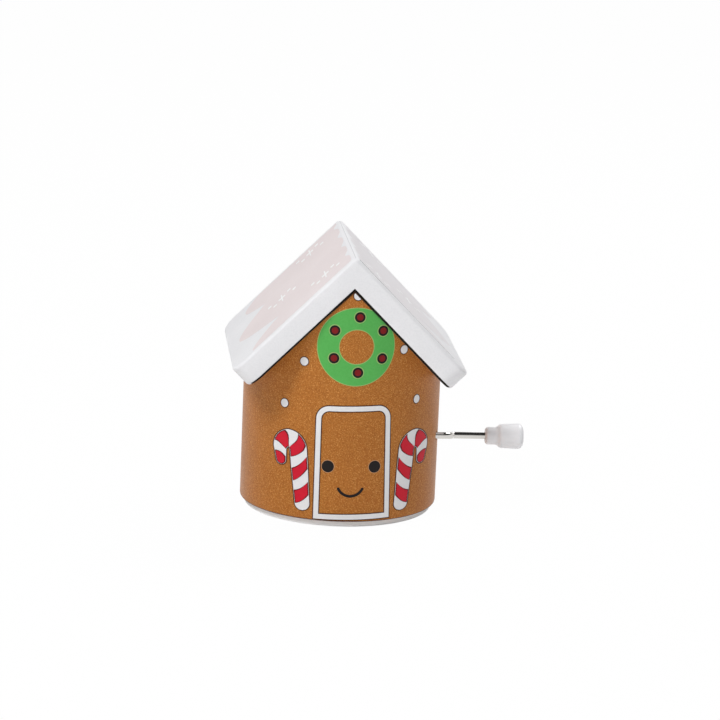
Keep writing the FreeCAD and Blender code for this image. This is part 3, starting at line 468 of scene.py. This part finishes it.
def paint_group():
    """Sprayed paint: broad mottling, a fine grain with bright flecks, and orange peel."""
    tree, given, result = finish_group("sprayed_paint", {
        "Paint": colour(0.8, 0.8, 0.8), "Shade": colour(0.6, 0.6, 0.6), "Fleck": colour(1, 1, 1),
        "Mottle": 0.3, "Grain": 0.3, "Fleck share": 0.2, "Gloss": 0.45})
    broad = noise(tree, given["Vector"], MOTTLE_SCALE, 4.0)
    fine = noise(tree, given["Vector"], GRAIN_SCALE, 2.0, 0.7)
    flecks = noise(tree, given["Vector"], FLECK_SCALE, 1.0, 0.5)
    peel = noise(tree, given["Vector"], PEEL_SCALE, 2.0)
    patch = maths(tree, "MULTIPLY", stretch(tree, broad, *MOTTLE_RANGE), given["Mottle"])
    speck = maths(tree, "MULTIPLY", stretch(tree, fine, *GRAIN_RANGE), given["Grain"])
    glint = maths(tree, "MULTIPLY", stretch(tree, flecks, *FLECK_RANGE), given["Fleck share"])
    shaded = blend_colours(tree, patch, given["Paint"], given["Shade"])
    grained = blend_colours(tree, speck, shaded, given["Shade"])
    tree.links.new(blend_colours(tree, glint, grained, given["Fleck"]), result["Color"])
    drift = stretch(tree, broad, *GLOSS_RANGE, -MOTTLE_DULLING, MOTTLE_DULLING)
    dull = maths(tree, "ADD", given["Gloss"], drift)
    polish = maths(tree, "MULTIPLY", glint, FLECK_POLISH)
    tree.links.new(maths(tree, "SUBTRACT", dull, polish), result["Roughness"])
    roughened = maths(tree, "MULTIPLY", fine, GRAIN_RELIEF)
    tree.links.new(maths(tree, "ADD", peel, roughened), result["Height"])
    return tree


def metal_group():
    """Worked metal: fine tool marks and cloudy stains."""
    tree, given, result = finish_group("worked_metal", {
        "Metal": colour(0.6, 0.6, 0.6), "Stain": colour(0.3, 0.3, 0.3), "Stain share": 0.3,
        "Gloss": 0.3})
    marks = noise(tree, given["Vector"], TOOL_MARK_SCALE, 4.0, 0.65)
    cloud = noise(tree, given["Vector"], STAIN_SCALE, 5.0, 0.6)
    stain = maths(tree, "MULTIPLY", stretch(tree, cloud, *STAIN_RANGE), given["Stain share"])
    tree.links.new(blend_colours(tree, stain, given["Metal"], given["Stain"]), result["Color"])
    wear = stretch(tree, marks, *GLOSS_RANGE, -TOOL_MARK_POLISH, TOOL_MARK_DULLING)
    tree.links.new(maths(tree, "ADD", given["Gloss"], wear), result["Roughness"])
    tree.links.new(marks, result["Height"])
    return tree


PAINT = paint_group()
METAL = metal_group()


def new_material(name, group, values, bump, stretched=(1, 1, 1), **shader_values):
    """A material that takes its colour, roughness and bump from one of the groups."""
    material = bpy.data.materials.new(name)
    material.use_nodes = True
    nodes, links = material.node_tree.nodes, material.node_tree.links
    shader = nodes["Principled BSDF"]
    where = nodes.new("ShaderNodeTexCoord")
    mapping = nodes.new("ShaderNodeMapping")
    mapping.inputs["Scale"].default_value = stretched
    links.new(where.outputs["Object"], mapping.inputs["Vector"])
    finish = nodes.new("ShaderNodeGroup")
    finish.node_tree = group
    links.new(mapping.outputs["Vector"], finish.inputs["Vector"])
    for key, value in values.items():
        finish.inputs[key].default_value = value
    relief = nodes.new("ShaderNodeBump")
    relief.inputs["Strength"].default_value = bump
    relief.inputs["Distance"].default_value = RELIEF_DEPTH
    links.new(finish.outputs["Height"], relief.inputs["Height"])
    links.new(finish.outputs["Color"], shader.inputs["Base Color"])
    links.new(finish.outputs["Roughness"], shader.inputs["Roughness"])
    links.new(relief.outputs["Normal"], shader.inputs["Normal"])
    for key, value in shader_values.items():
        shader.inputs[key.replace("_", " ")].default_value = value
    return material


def paint(name, main, shade, fleck, mottle, grain, flecks, gloss, bump=0.12, **shader_values):
    values = {"Paint": main, "Shade": shade, "Fleck": fleck, "Mottle": mottle, "Grain": grain,
              "Fleck share": flecks, "Gloss": gloss}
    return new_material(name, PAINT, values, bump, **shader_values)


def ink(name, main, shade):
    """Printed ink: plain paint without flecks."""
    return paint(name, main, shade, main, mottle=0.25, grain=0.3, flecks=0.0, gloss=0.48, bump=0.1,
                 Specular_IOR_Level=0.2)


def metal(name, main, stain, share, gloss, bump=0.1, stretched=(1, 1, 1)):
    values = {"Metal": main, "Stain": stain, "Stain share": share, "Gloss": gloss}
    return new_material(name, METAL, values, bump, stretched, Metallic=1.0)


GINGERBREAD = paint("gingerbread_paint", colour(0.47, 0.165, 0.028), colour(0.29, 0.085, 0.010),
                    colour(0.80, 0.40, 0.11), mottle=0.25, grain=0.6, flecks=0.6, gloss=0.40,
                    Specular_IOR_Level=0.17)
ROOF_WHITE = paint("roof_white", colour(0.88, 0.875, 0.895), colour(0.77, 0.77, 0.79),
                   colour(0.90, 0.90, 0.90), mottle=0.25, grain=0.35, flecks=0.3, gloss=0.5)
BASE_WHITE = paint("base_white", colour(0.93, 0.93, 0.93), colour(0.85, 0.85, 0.84),
                   colour(0.96, 0.96, 0.96), mottle=0.3, grain=0.3, flecks=0.2, gloss=0.5)
KNOB_WHITE = paint("knob_white", colour(0.89, 0.89, 0.91), colour(0.83, 0.83, 0.86),
                   colour(0.82, 0.82, 0.82), mottle=0.3, grain=0.25, flecks=0.2, gloss=0.36, bump=0.06)

INK_WHITE = ink("ink_white", colour(0.84, 0.84, 0.85), colour(0.72, 0.72, 0.75))
INK_FROST = ink("ink_frost", colour(0.97, 0.97, 0.97), colour(0.91, 0.91, 0.92))
INK_DARK = ink("ink_dark", colour(0.085, 0.03, 0.012), colour(0.05, 0.018, 0.008))
INK_BLACK = ink("ink_black", colour(0.006, 0.004, 0.004), colour(0.014, 0.010, 0.009))
INK_RED = ink("ink_red", colour(0.66, 0.010, 0.032), colour(0.50, 0.005, 0.020))
INK_DARK_RED = ink("ink_dark_red", colour(0.12, 0.004, 0.010), colour(0.08, 0.003, 0.007))
INK_BERRY = ink("ink_berry", colour(0.22, 0.008, 0.009), colour(0.15, 0.005, 0.007))
INK_GREEN = ink("ink_green", colour(0.105, 0.46, 0.10), colour(0.07, 0.37, 0.065))
INK_PALE_GREEN = ink("ink_pale_green", colour(0.32, 0.52, 0.17), colour(0.24, 0.42, 0.12))
INK_TAN = ink("ink_tan", colour(0.55, 0.30, 0.15), colour(0.45, 0.22, 0.1))
INK_PINK = ink("ink_pink", colour(0.85, 0.765, 0.765), colour(0.77, 0.68, 0.68))
INK_PALE_PINK = ink("ink_pale_pink", colour(0.82, 0.79, 0.81), colour(0.77, 0.745, 0.765))
EDGE_SHADE_GREY = ink("edge_shade_grey", colour(0.34, 0.34, 0.36), colour(0.28, 0.28, 0.30))
SEAM_PALE = ink("seam_pale", colour(0.66, 0.66, 0.68), colour(0.58, 0.58, 0.60))

STEEL_WIRE = metal("drawn_steel", colour(0.66, 0.64, 0.61), colour(0.44, 0.42, 0.39),
                   share=0.35, gloss=0.15)
SCREW_STEEL = metal("plated_screw", colour(0.55, 0.54, 0.52), colour(0.33, 0.31, 0.28),
                    share=0.4, gloss=0.34)
SPRING_STEEL = metal("comb_steel", colour(0.50, 0.51, 0.53), colour(0.30, 0.31, 0.34),
                     share=0.3, gloss=0.26, bump=0.12, stretched=(0.15, 1, 1))
BRACKET_STEEL = metal("bracket_steel", colour(0.50, 0.50, 0.50), colour(0.32, 0.32, 0.32),
                      share=0.4, gloss=0.4)
ZINC = metal("zinc_casting", colour(0.45, 0.45, 0.46), colour(0.30, 0.30, 0.31),
             share=0.6, gloss=0.5, bump=0.25)
LEAD = metal("lead_weight", colour(0.24, 0.24, 0.26), colour(0.15, 0.15, 0.16),
             share=0.6, gloss=0.55, bump=0.25)
BRASS = metal("drum_brass", colour(0.75, 0.53, 0.20), colour(0.46, 0.30, 0.11),
              share=0.4, gloss=0.28, stretched=(1, 0.2, 1))
GEAR_BRASS = metal("gear_brass", colour(0.72, 0.50, 0.19), colour(0.42, 0.27, 0.10),
                   share=0.45, gloss=0.33)

NODE_MATERIALS = {
    "base_plate": BASE_WHITE,
    "base_screws": SCREW_STEEL,
    "movement_screws": SCREW_STEEL,
    "comb_screws": SCREW_STEEL,
    "bracket_screws": SCREW_STEEL,
    "bedplate": ZINC,
    "comb": SPRING_STEEL,
    "bass_weights": LEAD,
    "drum_sleeve": BRASS,
    "drum_cap_front": BRASS,
    "drum_cap_back": BRASS,
    "drum_arbor": STEEL_WIRE,
    "arbor_clips": SPRING_STEEL,
    "drum_wheel": GEAR_BRASS,
    "crank_worm": GEAR_BRASS,
    "crank_bracket": BRACKET_STEEL,
    "crank_wire": STEEL_WIRE,
    "crank_knob": KNOB_WHITE,
    "house_body": GINGERBREAD,
    "roof_board_left": ROOF_WHITE,
    "roof_board_right": ROOF_WHITE,
}
for node, material in NODE_MATERIALS.items():
    mesh = frame["nodes"][node].data
    mesh.materials.clear()
    mesh.materials.append(material)

# Case

turned_body(GINGERBREAD)
roof_board("roof_left", "roof_board_left", -1, ROOF_WHITE)
roof_board("roof_right", "roof_board_right", 1, ROOF_WHITE)

# Wreath with berries

WREATH = (1.4 * MM, 59.3 * MM)
WREATH_OUTER = 12.5 * MM
WREATH_INNER = 5.7 * MM
WREATH_EDGE = 0.22 * MM
BERRY_CENTRE = (2.05 * MM, 60.0 * MM)
BERRY_CIRCLE = 8.95 * MM
BERRY_ANGLES = (90, 30, -30, -90, -150, 150)
BERRY_CORE = 1.05 * MM
BERRY_RIM = 1.68 * MM
BERRY_HALO = 1.98 * MM

wall_print("wreath", [ring(*WREATH, WREATH_INNER, WREATH_OUTER)], INK_GREEN)
wreath_edges = [ring(*WREATH, WREATH_OUTER, WREATH_OUTER + WREATH_EDGE),
                ring(*WREATH, WREATH_INNER - WREATH_EDGE, WREATH_INNER)]
wall_print("wreath_edges", wreath_edges, INK_PALE_GREEN)
berry_places = [(BERRY_CENTRE[0] + BERRY_CIRCLE * math.cos(math.radians(angle)),
                 BERRY_CENTRE[1] + BERRY_CIRCLE * math.sin(math.radians(angle)))
                for angle in BERRY_ANGLES]
for name, radius, layer, material in (("berry_halos", BERRY_HALO, 2, INK_PALE_GREEN),
                                      ("berry_rims", BERRY_RIM, 3, INK_BLACK),
                                      ("berries", BERRY_CORE, 4, INK_BERRY)):
    wall_print(name, [disc(*place, radius) for place in berry_places], material, layer)

# White dots

DOTS = [(1.2 * MM, 75.8 * MM), (-15.3 * MM, 53.6 * MM), (17.8 * MM, 57.8 * MM),
        (-21.9 * MM, 39.1 * MM), (24.3 * MM, 40.8 * MM)]
DOT_RADIUS = 1.35 * MM
DOT_EDGE = 0.3 * MM

wall_print("dot_edges", [disc(*dot, DOT_RADIUS + DOT_EDGE) for dot in DOTS], INK_DARK)
wall_print("dots", [disc(*dot, DOT_RADIUS) for dot in DOTS], INK_WHITE, layer=2)

# Door frame

DOOR_LEFT = -10.3 * MM
DOOR_RIGHT = 13.8 * MM
DOOR_BOTTOM = 2.9 * MM
DOOR_TOP = 40.0 * MM
DOOR_CORNER = 4.2 * MM
DOOR_CORNER_STEPS = 12
DOOR_FLARE = 0.44 * MM
DOOR_BAND = 1.6 * MM
DOOR_EDGE = 0.36 * MM
DOOR_TILT = math.radians(1.0)


def door(outset):
    """The door's outline as one face, grown by an outset."""
    bm = bmesh.new()
    left, right = DOOR_LEFT - outset, DOOR_RIGHT + outset
    low, high = DOOR_BOTTOM - outset, DOOR_TOP + outset
    places = ((left - DOOR_FLARE, low), (right + DOOR_FLARE, low), (right, high), (left, high))
    corners = [bm.verts.new((x, y, 0)) for x, y in places]
    bm.faces.new(corners)
    bmesh.ops.bevel(bm, geom=corners[2:], offset=DOOR_CORNER + outset, segments=DOOR_CORNER_STEPS,
                    profile=ROUND_PROFILE, affect="VERTICES", material=-1)
    return bm


def door_frame(outset, band):
    """A band just inside the door's outline."""
    bm = door(outset)
    middle = bm.faces[:]
    bmesh.ops.inset_region(bm, faces=middle, thickness=band, use_boundary=True,
                           use_even_offset=True)
    bmesh.ops.delete(bm, geom=middle, context="FACES")
    centre = ((DOOR_LEFT + DOOR_RIGHT) / 2, (DOOR_BOTTOM + DOOR_TOP) / 2)
    return tilted(bm, centre, DOOR_TILT)


wall_print("door_edges", [door_frame(DOOR_EDGE, DOOR_BAND + 2 * DOOR_EDGE)], INK_DARK)
wall_print("door_band", [door_frame(0, DOOR_BAND)], INK_WHITE, layer=2)

# Two round eyes and a smile on the door

EYES = [(-6.3 * MM, 20.2 * MM), (8.8 * MM, 20.2 * MM)]
EYE_RADIUS = 1.95 * MM
EYE_EDGE = 0.2 * MM
SMILE_CENTRE = (1.15 * MM, 14.9 * MM)
SMILE_RADIUS = 4.3 * MM
SMILE_REACH = SMILE_RADIUS * math.radians(70)
SMILE_HALF_WIDTH = 0.44 * MM
SMILE_STEPS = 60


def smile_path(travel):
    angle = -math.pi / 2 + travel / SMILE_RADIUS
    out = Vector((math.cos(angle), math.sin(angle)))
    return Vector(SMILE_CENTRE) + out * SMILE_RADIUS, out


wall_print("eye_edges", [disc(*eye, EYE_RADIUS + EYE_EDGE) for eye in EYES], INK_TAN)
wall_print("eyes", [disc(*eye, EYE_RADIUS) for eye in EYES], INK_BLACK, layer=2)
smile = ribbon(smile_path, -SMILE_REACH, SMILE_REACH, SMILE_HALF_WIDTH, SMILE_STEPS, round_ends=True)
wall_print("smile", [smile], INK_BLACK)

# Striped sugar canes, one each side of the door. Widths are half widths in mm at a travel in mm,
# and a stripe is its start, its end and the lean of each, in mm.

CANE_HOOK = (-17.3 * MM, 24.5 * MM)
CANE_MIRROR = 1.97 * MM
CANE_BEND = 3.3 * MM
CANE_BEND_X = 2.75 * MM
CANE_BEND_Z = 3.6 * MM
CANE_STEM = 19.6 * MM
CANE_DROP = 5.0 * MM
CANE_TIP = math.pi * CANE_BEND + CANE_DROP
CANE_WIDTHS = [(-20.0, 2.2), (-12.0, 2.35), (-6.0, 2.55), (0.0, 2.6), (5.2, 3.0), (10.4, 1.8),
               (15.4, 1.3)]
CANE_EDGE = 0.32 * MM
CANE_BORDER = 0.35 * MM
CANE_STEPS = 160
CANE_ACROSS = 6
STRIPE_EDGE = 0.26 * MM
STRIPE_SAG = 0.6 * MM
STRIPE_STEPS = 20
CANE_STRIPES = [(-15.7, -11.9, 1.4, 1.4), (-7.8, -4.2, 2.0, 1.9), (-0.5, 3.0, 1.5, 0.0),
                (5.9, 9.2, 0.0, -0.7), (12.1, 17.0, -0.9, -0.9)]
CANES = [("left", -1, math.radians(5.7)), ("right", 1, math.radians(4.1))]
FULL_WIDTH = 1.0


def cane_path(side, spread):
    """The cane's middle line and half width; travel is counted from the top of the stem."""
    centre = Vector(CANE_HOOK)
    if side > 0:
        centre.x = 2 * CANE_MIRROR - centre.x
    bend = math.pi * CANE_BEND
    bottom = -CANE_STEM - spread
    tip = CANE_TIP + spread

    def path(travel):
        travel = min(max(travel, bottom), tip)
        angle = min(max(travel / CANE_BEND, 0.0), math.pi)
        out = Vector((math.cos(angle), math.sin(angle)))
        point = Vector((out.x * CANE_BEND_X, out.y * CANE_BEND_Z))
        point.y += min(travel, 0.0) - max(travel - bend, 0.0)
        if side > 0:
            out.x = -out.x
            point.x = -point.x
        first, last, share = span(CANE_WIDTHS, travel / MM)
        width = (first + (last - first) * share) * MM + spread
        inset = min(travel - bottom, tip - travel, width) / width
        return centre + point, out * width * math.sqrt(1 - (1 - inset) ** 2)

    return path


for label, side, tilt in CANES:
    pivot = cane_path(side, 0.0)(-CANE_STEM / 2)[0]
    for name, spread, layer, material in (("cane_edge", CANE_EDGE, 1, INK_DARK),
                                          ("cane", 0.0, 2, INK_WHITE)):
        cane = ribbon(cane_path(side, spread), -CANE_STEM - spread, CANE_TIP + spread, FULL_WIDTH,
                      CANE_STEPS, CANE_ACROSS)
        wall_print(f"{name}_{label}", [pressed_on(tilted(cane, pivot, -side * tilt))], material, layer)
    for name, grown, layer, material in (("cane_stripe_edges", STRIPE_EDGE, 3, INK_DARK_RED),
                                         ("cane_stripes", 0.0, 4, INK_RED)):
        stripes = []
        for start, end, *leans in CANE_STRIPES:
            stripe = ribbon(cane_path(side, grown - CANE_BORDER), start * MM - grown, end * MM + grown,
                            FULL_WIDTH, STRIPE_STEPS, CANE_ACROSS,
                            leans=[lean * MM for lean in leans], sag=STRIPE_SAG)
            stripes.append(pressed_on(tilted(stripe, pivot, -side * tilt)))
        wall_print(f"{name}_{label}", stripes, material, layer)

# Roof print: a pale field with drips of white left along its edges, and small frost marks. Drips
# are the field's reach down the slope at places along the ridge, and marks are places, all in mm.

FIELD_FRONT = -31.0 * MM
FIELD_BACK = 30.0 * MM
FIELD_STEPS = 180
RIDGE_BORDER = 1.8 * MM
RIDGE_TOOTH = 1.5 * MM
RIDGE_TOOTH_PITCH = 14.7 * MM
RIDGE_TOOTH_START = -4.7 * MM
RIDGE_TOOTH_POINT = 5
DRIPS = [(-30.5, 44.2), (-18.0, 31.8), (-5.0, 48.2), (11.5, 35.5), (21.5, 43.6), (31.0, 36.0)]
FROST_MARKS = [(23.2, 14.4), (-19.8, 11.9), (-0.6, 29.0)]
FROST_ARM = 1.4 * MM
FROST_REACH = 4.2 * MM
FROST_DASHES = (-5.2, -3.2, 3.2, 5.2)
FROST_SHIFT = 2.0 * MM
FROST_HALF_WIDTH = 0.24 * MM
FROST_DASH_HALF_WIDTH = 0.7 * MM

# An odd count keeps the cross bar's points off those of the arms beside it
FROST_CROSS_STEPS = 5
FROST_ARM_STEPS = 6
FROST_DASH_STEPS = 4


def drip_edge(along):
    """How far the field reaches down the slope: round fingers with narrow white drips between."""
    first, last, share = span(DRIPS, along / MM)
    if last < first:
        return (last + (first - last) * math.sin(math.pi / 2 * (1 - share))) * MM
    return (first + (last - first) * math.sin(math.pi / 2 * share)) * MM


def ridge_edge(along):
    """The field's upper edge, with teeth of white that hang from the ridge."""
    swing = math.cos(math.pi * (along - RIDGE_TOOTH_START) / RIDGE_TOOTH_PITCH)
    return RIDGE_BORDER + RIDGE_TOOTH * abs(swing) ** RIDGE_TOOTH_POINT


def field_shape():
    bm = bmesh.new()
    bmesh.ops.create_grid(bm, x_segments=FIELD_STEPS, y_segments=1, size=1.0)
    for vert in bm.verts:
        share = (vert.co.x + 1) / 2
        along = FIELD_FRONT + (FIELD_BACK - FIELD_FRONT) * share
        fall = ridge_edge(along) if vert.co.y < 0 else drip_edge(along)
        vert.co = (along, fall, 0)
    return bm


def frost_mark(along, fall):
    """A small cross with short dashes up and down the slope from it."""
    centre = (along * MM, fall * MM)
    bars = [ribbon(straight(centre, (0, 1)), -FROST_ARM, FROST_ARM, FROST_DASH_HALF_WIDTH,
                   FROST_CROSS_STEPS)]
    for reach in (-1, 1):
        bars.append(ribbon(straight(centre, (reach, 0)), FROST_DASH_HALF_WIDTH, FROST_REACH,
                           FROST_HALF_WIDTH, FROST_ARM_STEPS))
    for index, dash in enumerate(FROST_DASHES):
        shift = FROST_SHIFT if index % 2 else -FROST_SHIFT
        point = (centre[0] + shift, centre[1] + dash * MM)
        bars.append(ribbon(straight(point, (0, 1)), -FROST_ARM / 2, FROST_ARM / 2,
                           FROST_DASH_HALF_WIDTH, FROST_DASH_STEPS))
    return bars


for label, side, material in (("left", -1, INK_PINK), ("right", 1, INK_PALE_PINK)):
    roof_print(f"icing_field_{label}", [field_shape()], side, material)
    frost = [bar for mark in FROST_MARKS for bar in frost_mark(*mark)]
    roof_print(f"frost_marks_{label}", frost, side, INK_FROST, layer=2)

# Lines: the boards' joint on the ridge, painted shade on the right board's front edge, painted shadow
# of the roof on the wall and on the boards' lower edges, and a dark line round the body's foot

SEAM_HALF_WIDTH = 0.12 * MM
SEAM_LIFT = 0.01 * MM
SEAM_STEPS = 40
EDGE_SHADE_WIDTH = 0.35 * MM
EDGE_SHADE_END_WIDTH = 0.12 * MM
EDGE_SHADE_PLACE = -31.1 * MM
EDGE_SHADE_LENGTH = 46.0 * MM
EDGE_SHADE_STEPS = 60
GABLE_SHADOW_WIDTH = 0.15 * MM
GABLE_REACH = math.radians(60) * BODY_RADIUS
GABLE_STEPS = 120
GABLE_LAYER = 5
EAVE_LINE_TURN = math.radians(22)
EAVE_LINE_SWING = math.radians(50)
EAVE_LINE_STEPS = 80
FOOT_LINE_TURN = math.radians(35)
LINE_LAST_TURN = math.radians(82)
LINE_ACROSS = 4


def ridge_seam():
    bm = ribbon(straight((0, -ROOF_HALF_DEPTH + ROOF_ROUND), (0, 1)), 0,
                2 * (ROOF_HALF_DEPTH - ROOF_ROUND), SEAM_HALF_WIDTH, SEAM_STEPS)
    give_depth(bm, INK_SUNK, SEAM_LIFT)
    bmesh.ops.translate(bm, verts=bm.verts[:], vec=(0, 0, RIDGE_TOP))
    return bm


def painted_edge_shade_path(travel):
    """Painted shade down the slope beside the right board's rounded front edge, thinner towards the
    eave.
    """
    width = EDGE_SHADE_WIDTH + (EDGE_SHADE_END_WIDTH - EDGE_SHADE_WIDTH) * travel / EDGE_SHADE_LENGTH
    return Vector((EDGE_SHADE_PLACE, travel)), Vector((-width, 0))


def gable_path(travel):
    """Round the wall, along the roof's underside, where the painted shadow line runs."""
    return Vector((travel, APEX - abs(BODY_RADIUS * math.sin(travel / BODY_RADIUS)))), Vector((0, 1))


def edge_line(first_turn, steps, place, closed=False):
    """A thin layer of ink on a rounded edge; place tells where a share, a turn and a rise lie.

    A closed line runs all the way round, so it has no end faces.
    """
    bm = bmesh.new()
    bmesh.ops.create_grid(bm, x_segments=steps, y_segments=LINE_ACROSS, size=1.0)
    for vert in bm.verts:
        turn = first_turn + (LINE_LAST_TURN - first_turn) * (vert.co.y + 1) / 2
        vert.co = ((vert.co.x + 1) / 2, turn, 0)
    give_depth(bm, INK_SUNK, INK)
    if closed:
        ends = [face for face in bm.faces if all(vert.co.x in (0, 1) for vert in face.verts)]
        bmesh.ops.delete(bm, geom=ends, context="FACES_ONLY")
    for vert in bm.verts:
        vert.co = place(*vert.co)
    return bm


def eave_edge(side, end):
    """Places on the lower rounded edge of a board, from the ridge into the eave corner."""
    normal = slope_normal(side)
    down = down_slope(side)
    face = Vector((0, end, 0))
    corner = EAVE_X / math.cos(SLOPE) - ROOF_CORNER
    length = corner + ROOF_CORNER * EAVE_LINE_SWING

    def place(share, turn, out):
        start = ROOF_ROUND * (math.sin(turn) - 1)
        travel = start + (length - start) * share
        swing = max(travel - corner, 0) / ROOF_CORNER
        outward = face * math.cos(swing) + down * math.sin(swing)
        middle = Vector((0, 0, APEX)) + face * (ROOF_HALF_DEPTH - ROOF_CORNER)
        middle += down * min(travel, corner) + outward * (ROOF_CORNER - ROOF_ROUND) + normal * ROOF_ROUND
        return middle + (outward * math.cos(turn) - normal * math.sin(turn)) * (ROOF_ROUND + out)

    return place


def foot_edge(share, turn, out):
    """Places on the body's rounded lower edge, all the way round."""
    radius = BODY_ROUND + out
    reach = BODY_RADIUS - BODY_ROUND + radius * math.cos(turn)
    angle = math.tau * share
    height = BODY_BOTTOM + BODY_ROUND - radius * math.sin(turn)
    return (reach * math.cos(angle), reach * math.sin(angle), height)


new_piece("ridge_seam", ridge_seam(), SEAM_PALE)
# Painted shade: a grey strip on the right board's slope beside its front edge, widest at the ridge
painted_edge_shade = ribbon(painted_edge_shade_path, RIDGE_ROUND, EDGE_SHADE_LENGTH, FULL_WIDTH, EDGE_SHADE_STEPS)
roof_print("painted_edge_shade", [painted_edge_shade], 1, EDGE_SHADE_GREY)
# Painted shadow: a black line on the wall, front and back, just under the roof's edge
gable_shadow_lines = [ribbon(gable_path, middle - GABLE_REACH, middle + GABLE_REACH,
                      GABLE_SHADOW_WIDTH / math.cos(SLOPE), GABLE_STEPS)
               for middle in (0, math.pi * BODY_RADIUS)]
wall_print("gable_shadow_line", gable_shadow_lines, INK_BLACK, GABLE_LAYER)
# Painted shadow: black ink on the lower rounded edge of each board, front and back, where the roof meets
# the wall
eave_shadow_lines = [edge_line(EAVE_LINE_TURN, EAVE_LINE_STEPS, eave_edge(side, end))
              for side in (-1, 1) for end in (-1, 1)]
new_piece("eave_shadow_lines", merged(eave_shadow_lines), INK_BLACK)
foot_line = edge_line(FOOT_LINE_TURN, WALL_STEPS, foot_edge, closed=True)
new_piece("foot_line", foot_line, INK_DARK)

# Floor, light and camera

FLOOR_SIZE = 3.0
FLOOR_STEPS = 4
FLOOR_DROP = 0.02 * MM
FLOOR_SHOW = 0.985
FLOOR_CARD = 0.9
SKY = 0.27
SKY_OVERHEAD = 0.03
SKY_FADE = (0.25, 0.55)
KEY_PLACE = Vector((-0.52, -0.53, 0.92))
KEY_POWER = 7.1
KEY_SIZE = 0.34
RIM_PLACE = Vector((0.5, 0.5, 0.8))
RIM_POWER = 4.6
FILL_PLACE = Vector((-0.30, -0.85, 0.40))
FILL_POWER = 0.9
FILL_SIZE = 0.3
PART_MIDDLE = Vector((0, 0, 45 * MM))


def seen_directly(tree):
    """1 where the camera, a reflection or glass sees the surface, otherwise 0."""
    path = tree.nodes.new("ShaderNodeLightPath").outputs
    seen = maths(tree, "MAXIMUM", path["Is Camera Ray"], path["Is Glossy Ray"])
    return maths(tree, "MAXIMUM", seen, path["Is Transmission Ray"])


def floor_material():
    """White card that glows towards the camera, and keeps a little of the part's shadow."""
    material = bpy.data.materials.new("studio_floor")
    material.use_nodes = True
    tree = material.node_tree
    nodes, links = tree.nodes, tree.links
    nodes.remove(nodes["Principled BSDF"])
    card = nodes.new("ShaderNodeBsdfDiffuse")
    card.inputs["Color"].default_value = colour(FLOOR_CARD, FLOOR_CARD, FLOOR_CARD)
    glow = nodes.new("ShaderNodeEmission")
    glow.inputs["Color"].default_value = colour(1, 1, 1)
    glow.inputs["Strength"].default_value = 1.0
    both = nodes.new("ShaderNodeMixShader")
    links.new(maths(tree, "MULTIPLY", seen_directly(tree), FLOOR_SHOW), both.inputs[0])
    links.new(card.outputs[0], both.inputs[1])
    links.new(glow.outputs[0], both.inputs[2])
    links.new(both.outputs[0], nodes["Material Output"].inputs["Surface"])
    return material


def studio_floor():
    bm = bmesh.new()
    bmesh.ops.create_grid(bm, x_segments=FLOOR_STEPS, y_segments=FLOOR_STEPS, size=FLOOR_SIZE,
                          matrix=Matrix.Translation((0, 0, -FLOOR_DROP)))
    mesh = as_mesh("studio_floor", bm)
    mesh.materials.append(floor_material())
    floor = in_scene("studio_floor", mesh)


def studio_sky():
    """White to the camera; in reflections white near the horizon and dark overhead."""
    world = bpy.data.worlds.new("studio_sky")
    world.use_nodes = True
    bpy.context.scene.world = world
    tree = world.node_tree
    nodes, links = tree.nodes, tree.links
    sky = nodes["Background"]
    sky.inputs["Color"].default_value = colour(1, 1, 1)
    path = nodes.new("ShaderNodeLightPath").outputs
    where = nodes.new("ShaderNodeSeparateXYZ")
    links.new(nodes.new("ShaderNodeTexCoord").outputs["Generated"], where.inputs[0])
    walls = stretch(tree, where.outputs["Z"], *SKY_FADE, 1.0, SKY_OVERHEAD)
    reflected = maths(tree, "MULTIPLY", path["Is Glossy Ray"], walls)
    shown = maths(tree, "MAXIMUM", path["Is Camera Ray"], path["Is Transmission Ray"])
    unseen = maths(tree, "SUBTRACT", 1.0, path["Is Glossy Ray"])
    lit = maths(tree, "MULTIPLY", unseen, SKY)
    strength = maths(tree, "MAXIMUM", maths(tree, "MAXIMUM", shown, reflected), lit)
    links.new(strength, sky.inputs["Strength"])


def soft_light(name, place, power, size):
    lamp = bpy.data.lights.new(name, "AREA")
    lamp.energy = power
    lamp.size = size
    light = in_scene(name, lamp)
    light.location = place
    light.rotation_euler = (PART_MIDDLE - place).to_track_quat("-Z", "Y").to_euler()


CAMERA_SIDE = math.radians(5.25)
CAMERA_RISE = math.radians(13.18)
CAMERA_ROLL = math.radians(2.32)
CAMERA_DISTANCE = 1.05
CAMERA_LENS = 161.3
CAMERA_SHIFT = (0.0245, 0.0110)


def photo_camera():
    """A long lens a little left of the front, from slightly above, rolled as the photograph is."""
    side, rise = CAMERA_SIDE, CAMERA_RISE
    back = Vector((-math.sin(side) * math.cos(rise), -math.cos(side) * math.cos(rise),
                   math.sin(rise)))
    level = Vector((math.cos(side), -math.sin(side), 0))
    upright = back.cross(level)
    right = level * math.cos(CAMERA_ROLL) + upright * math.sin(CAMERA_ROLL)
    top = upright * math.cos(CAMERA_ROLL) - level * math.sin(CAMERA_ROLL)
    lens = bpy.data.cameras.new("photo_camera")
    lens.lens = CAMERA_LENS
    lens.sensor_fit = "HORIZONTAL"
    lens.shift_x, lens.shift_y = CAMERA_SHIFT
    camera = in_scene("photo_camera", lens)
    place = Matrix((right, top, back)).transposed().to_4x4()
    place.translation = PART_MIDDLE + back * CAMERA_DISTANCE
    camera.matrix_world = place
    bpy.context.scene.camera = camera


studio_floor()
studio_sky()
soft_light("key", KEY_PLACE, KEY_POWER, KEY_SIZE)
soft_light("rim", RIM_PLACE, RIM_POWER, KEY_SIZE)
soft_light("fill", FILL_PLACE, FILL_POWER, FILL_SIZE)
photo_camera()
bpy.context.scene.view_settings.view_transform = "Standard"
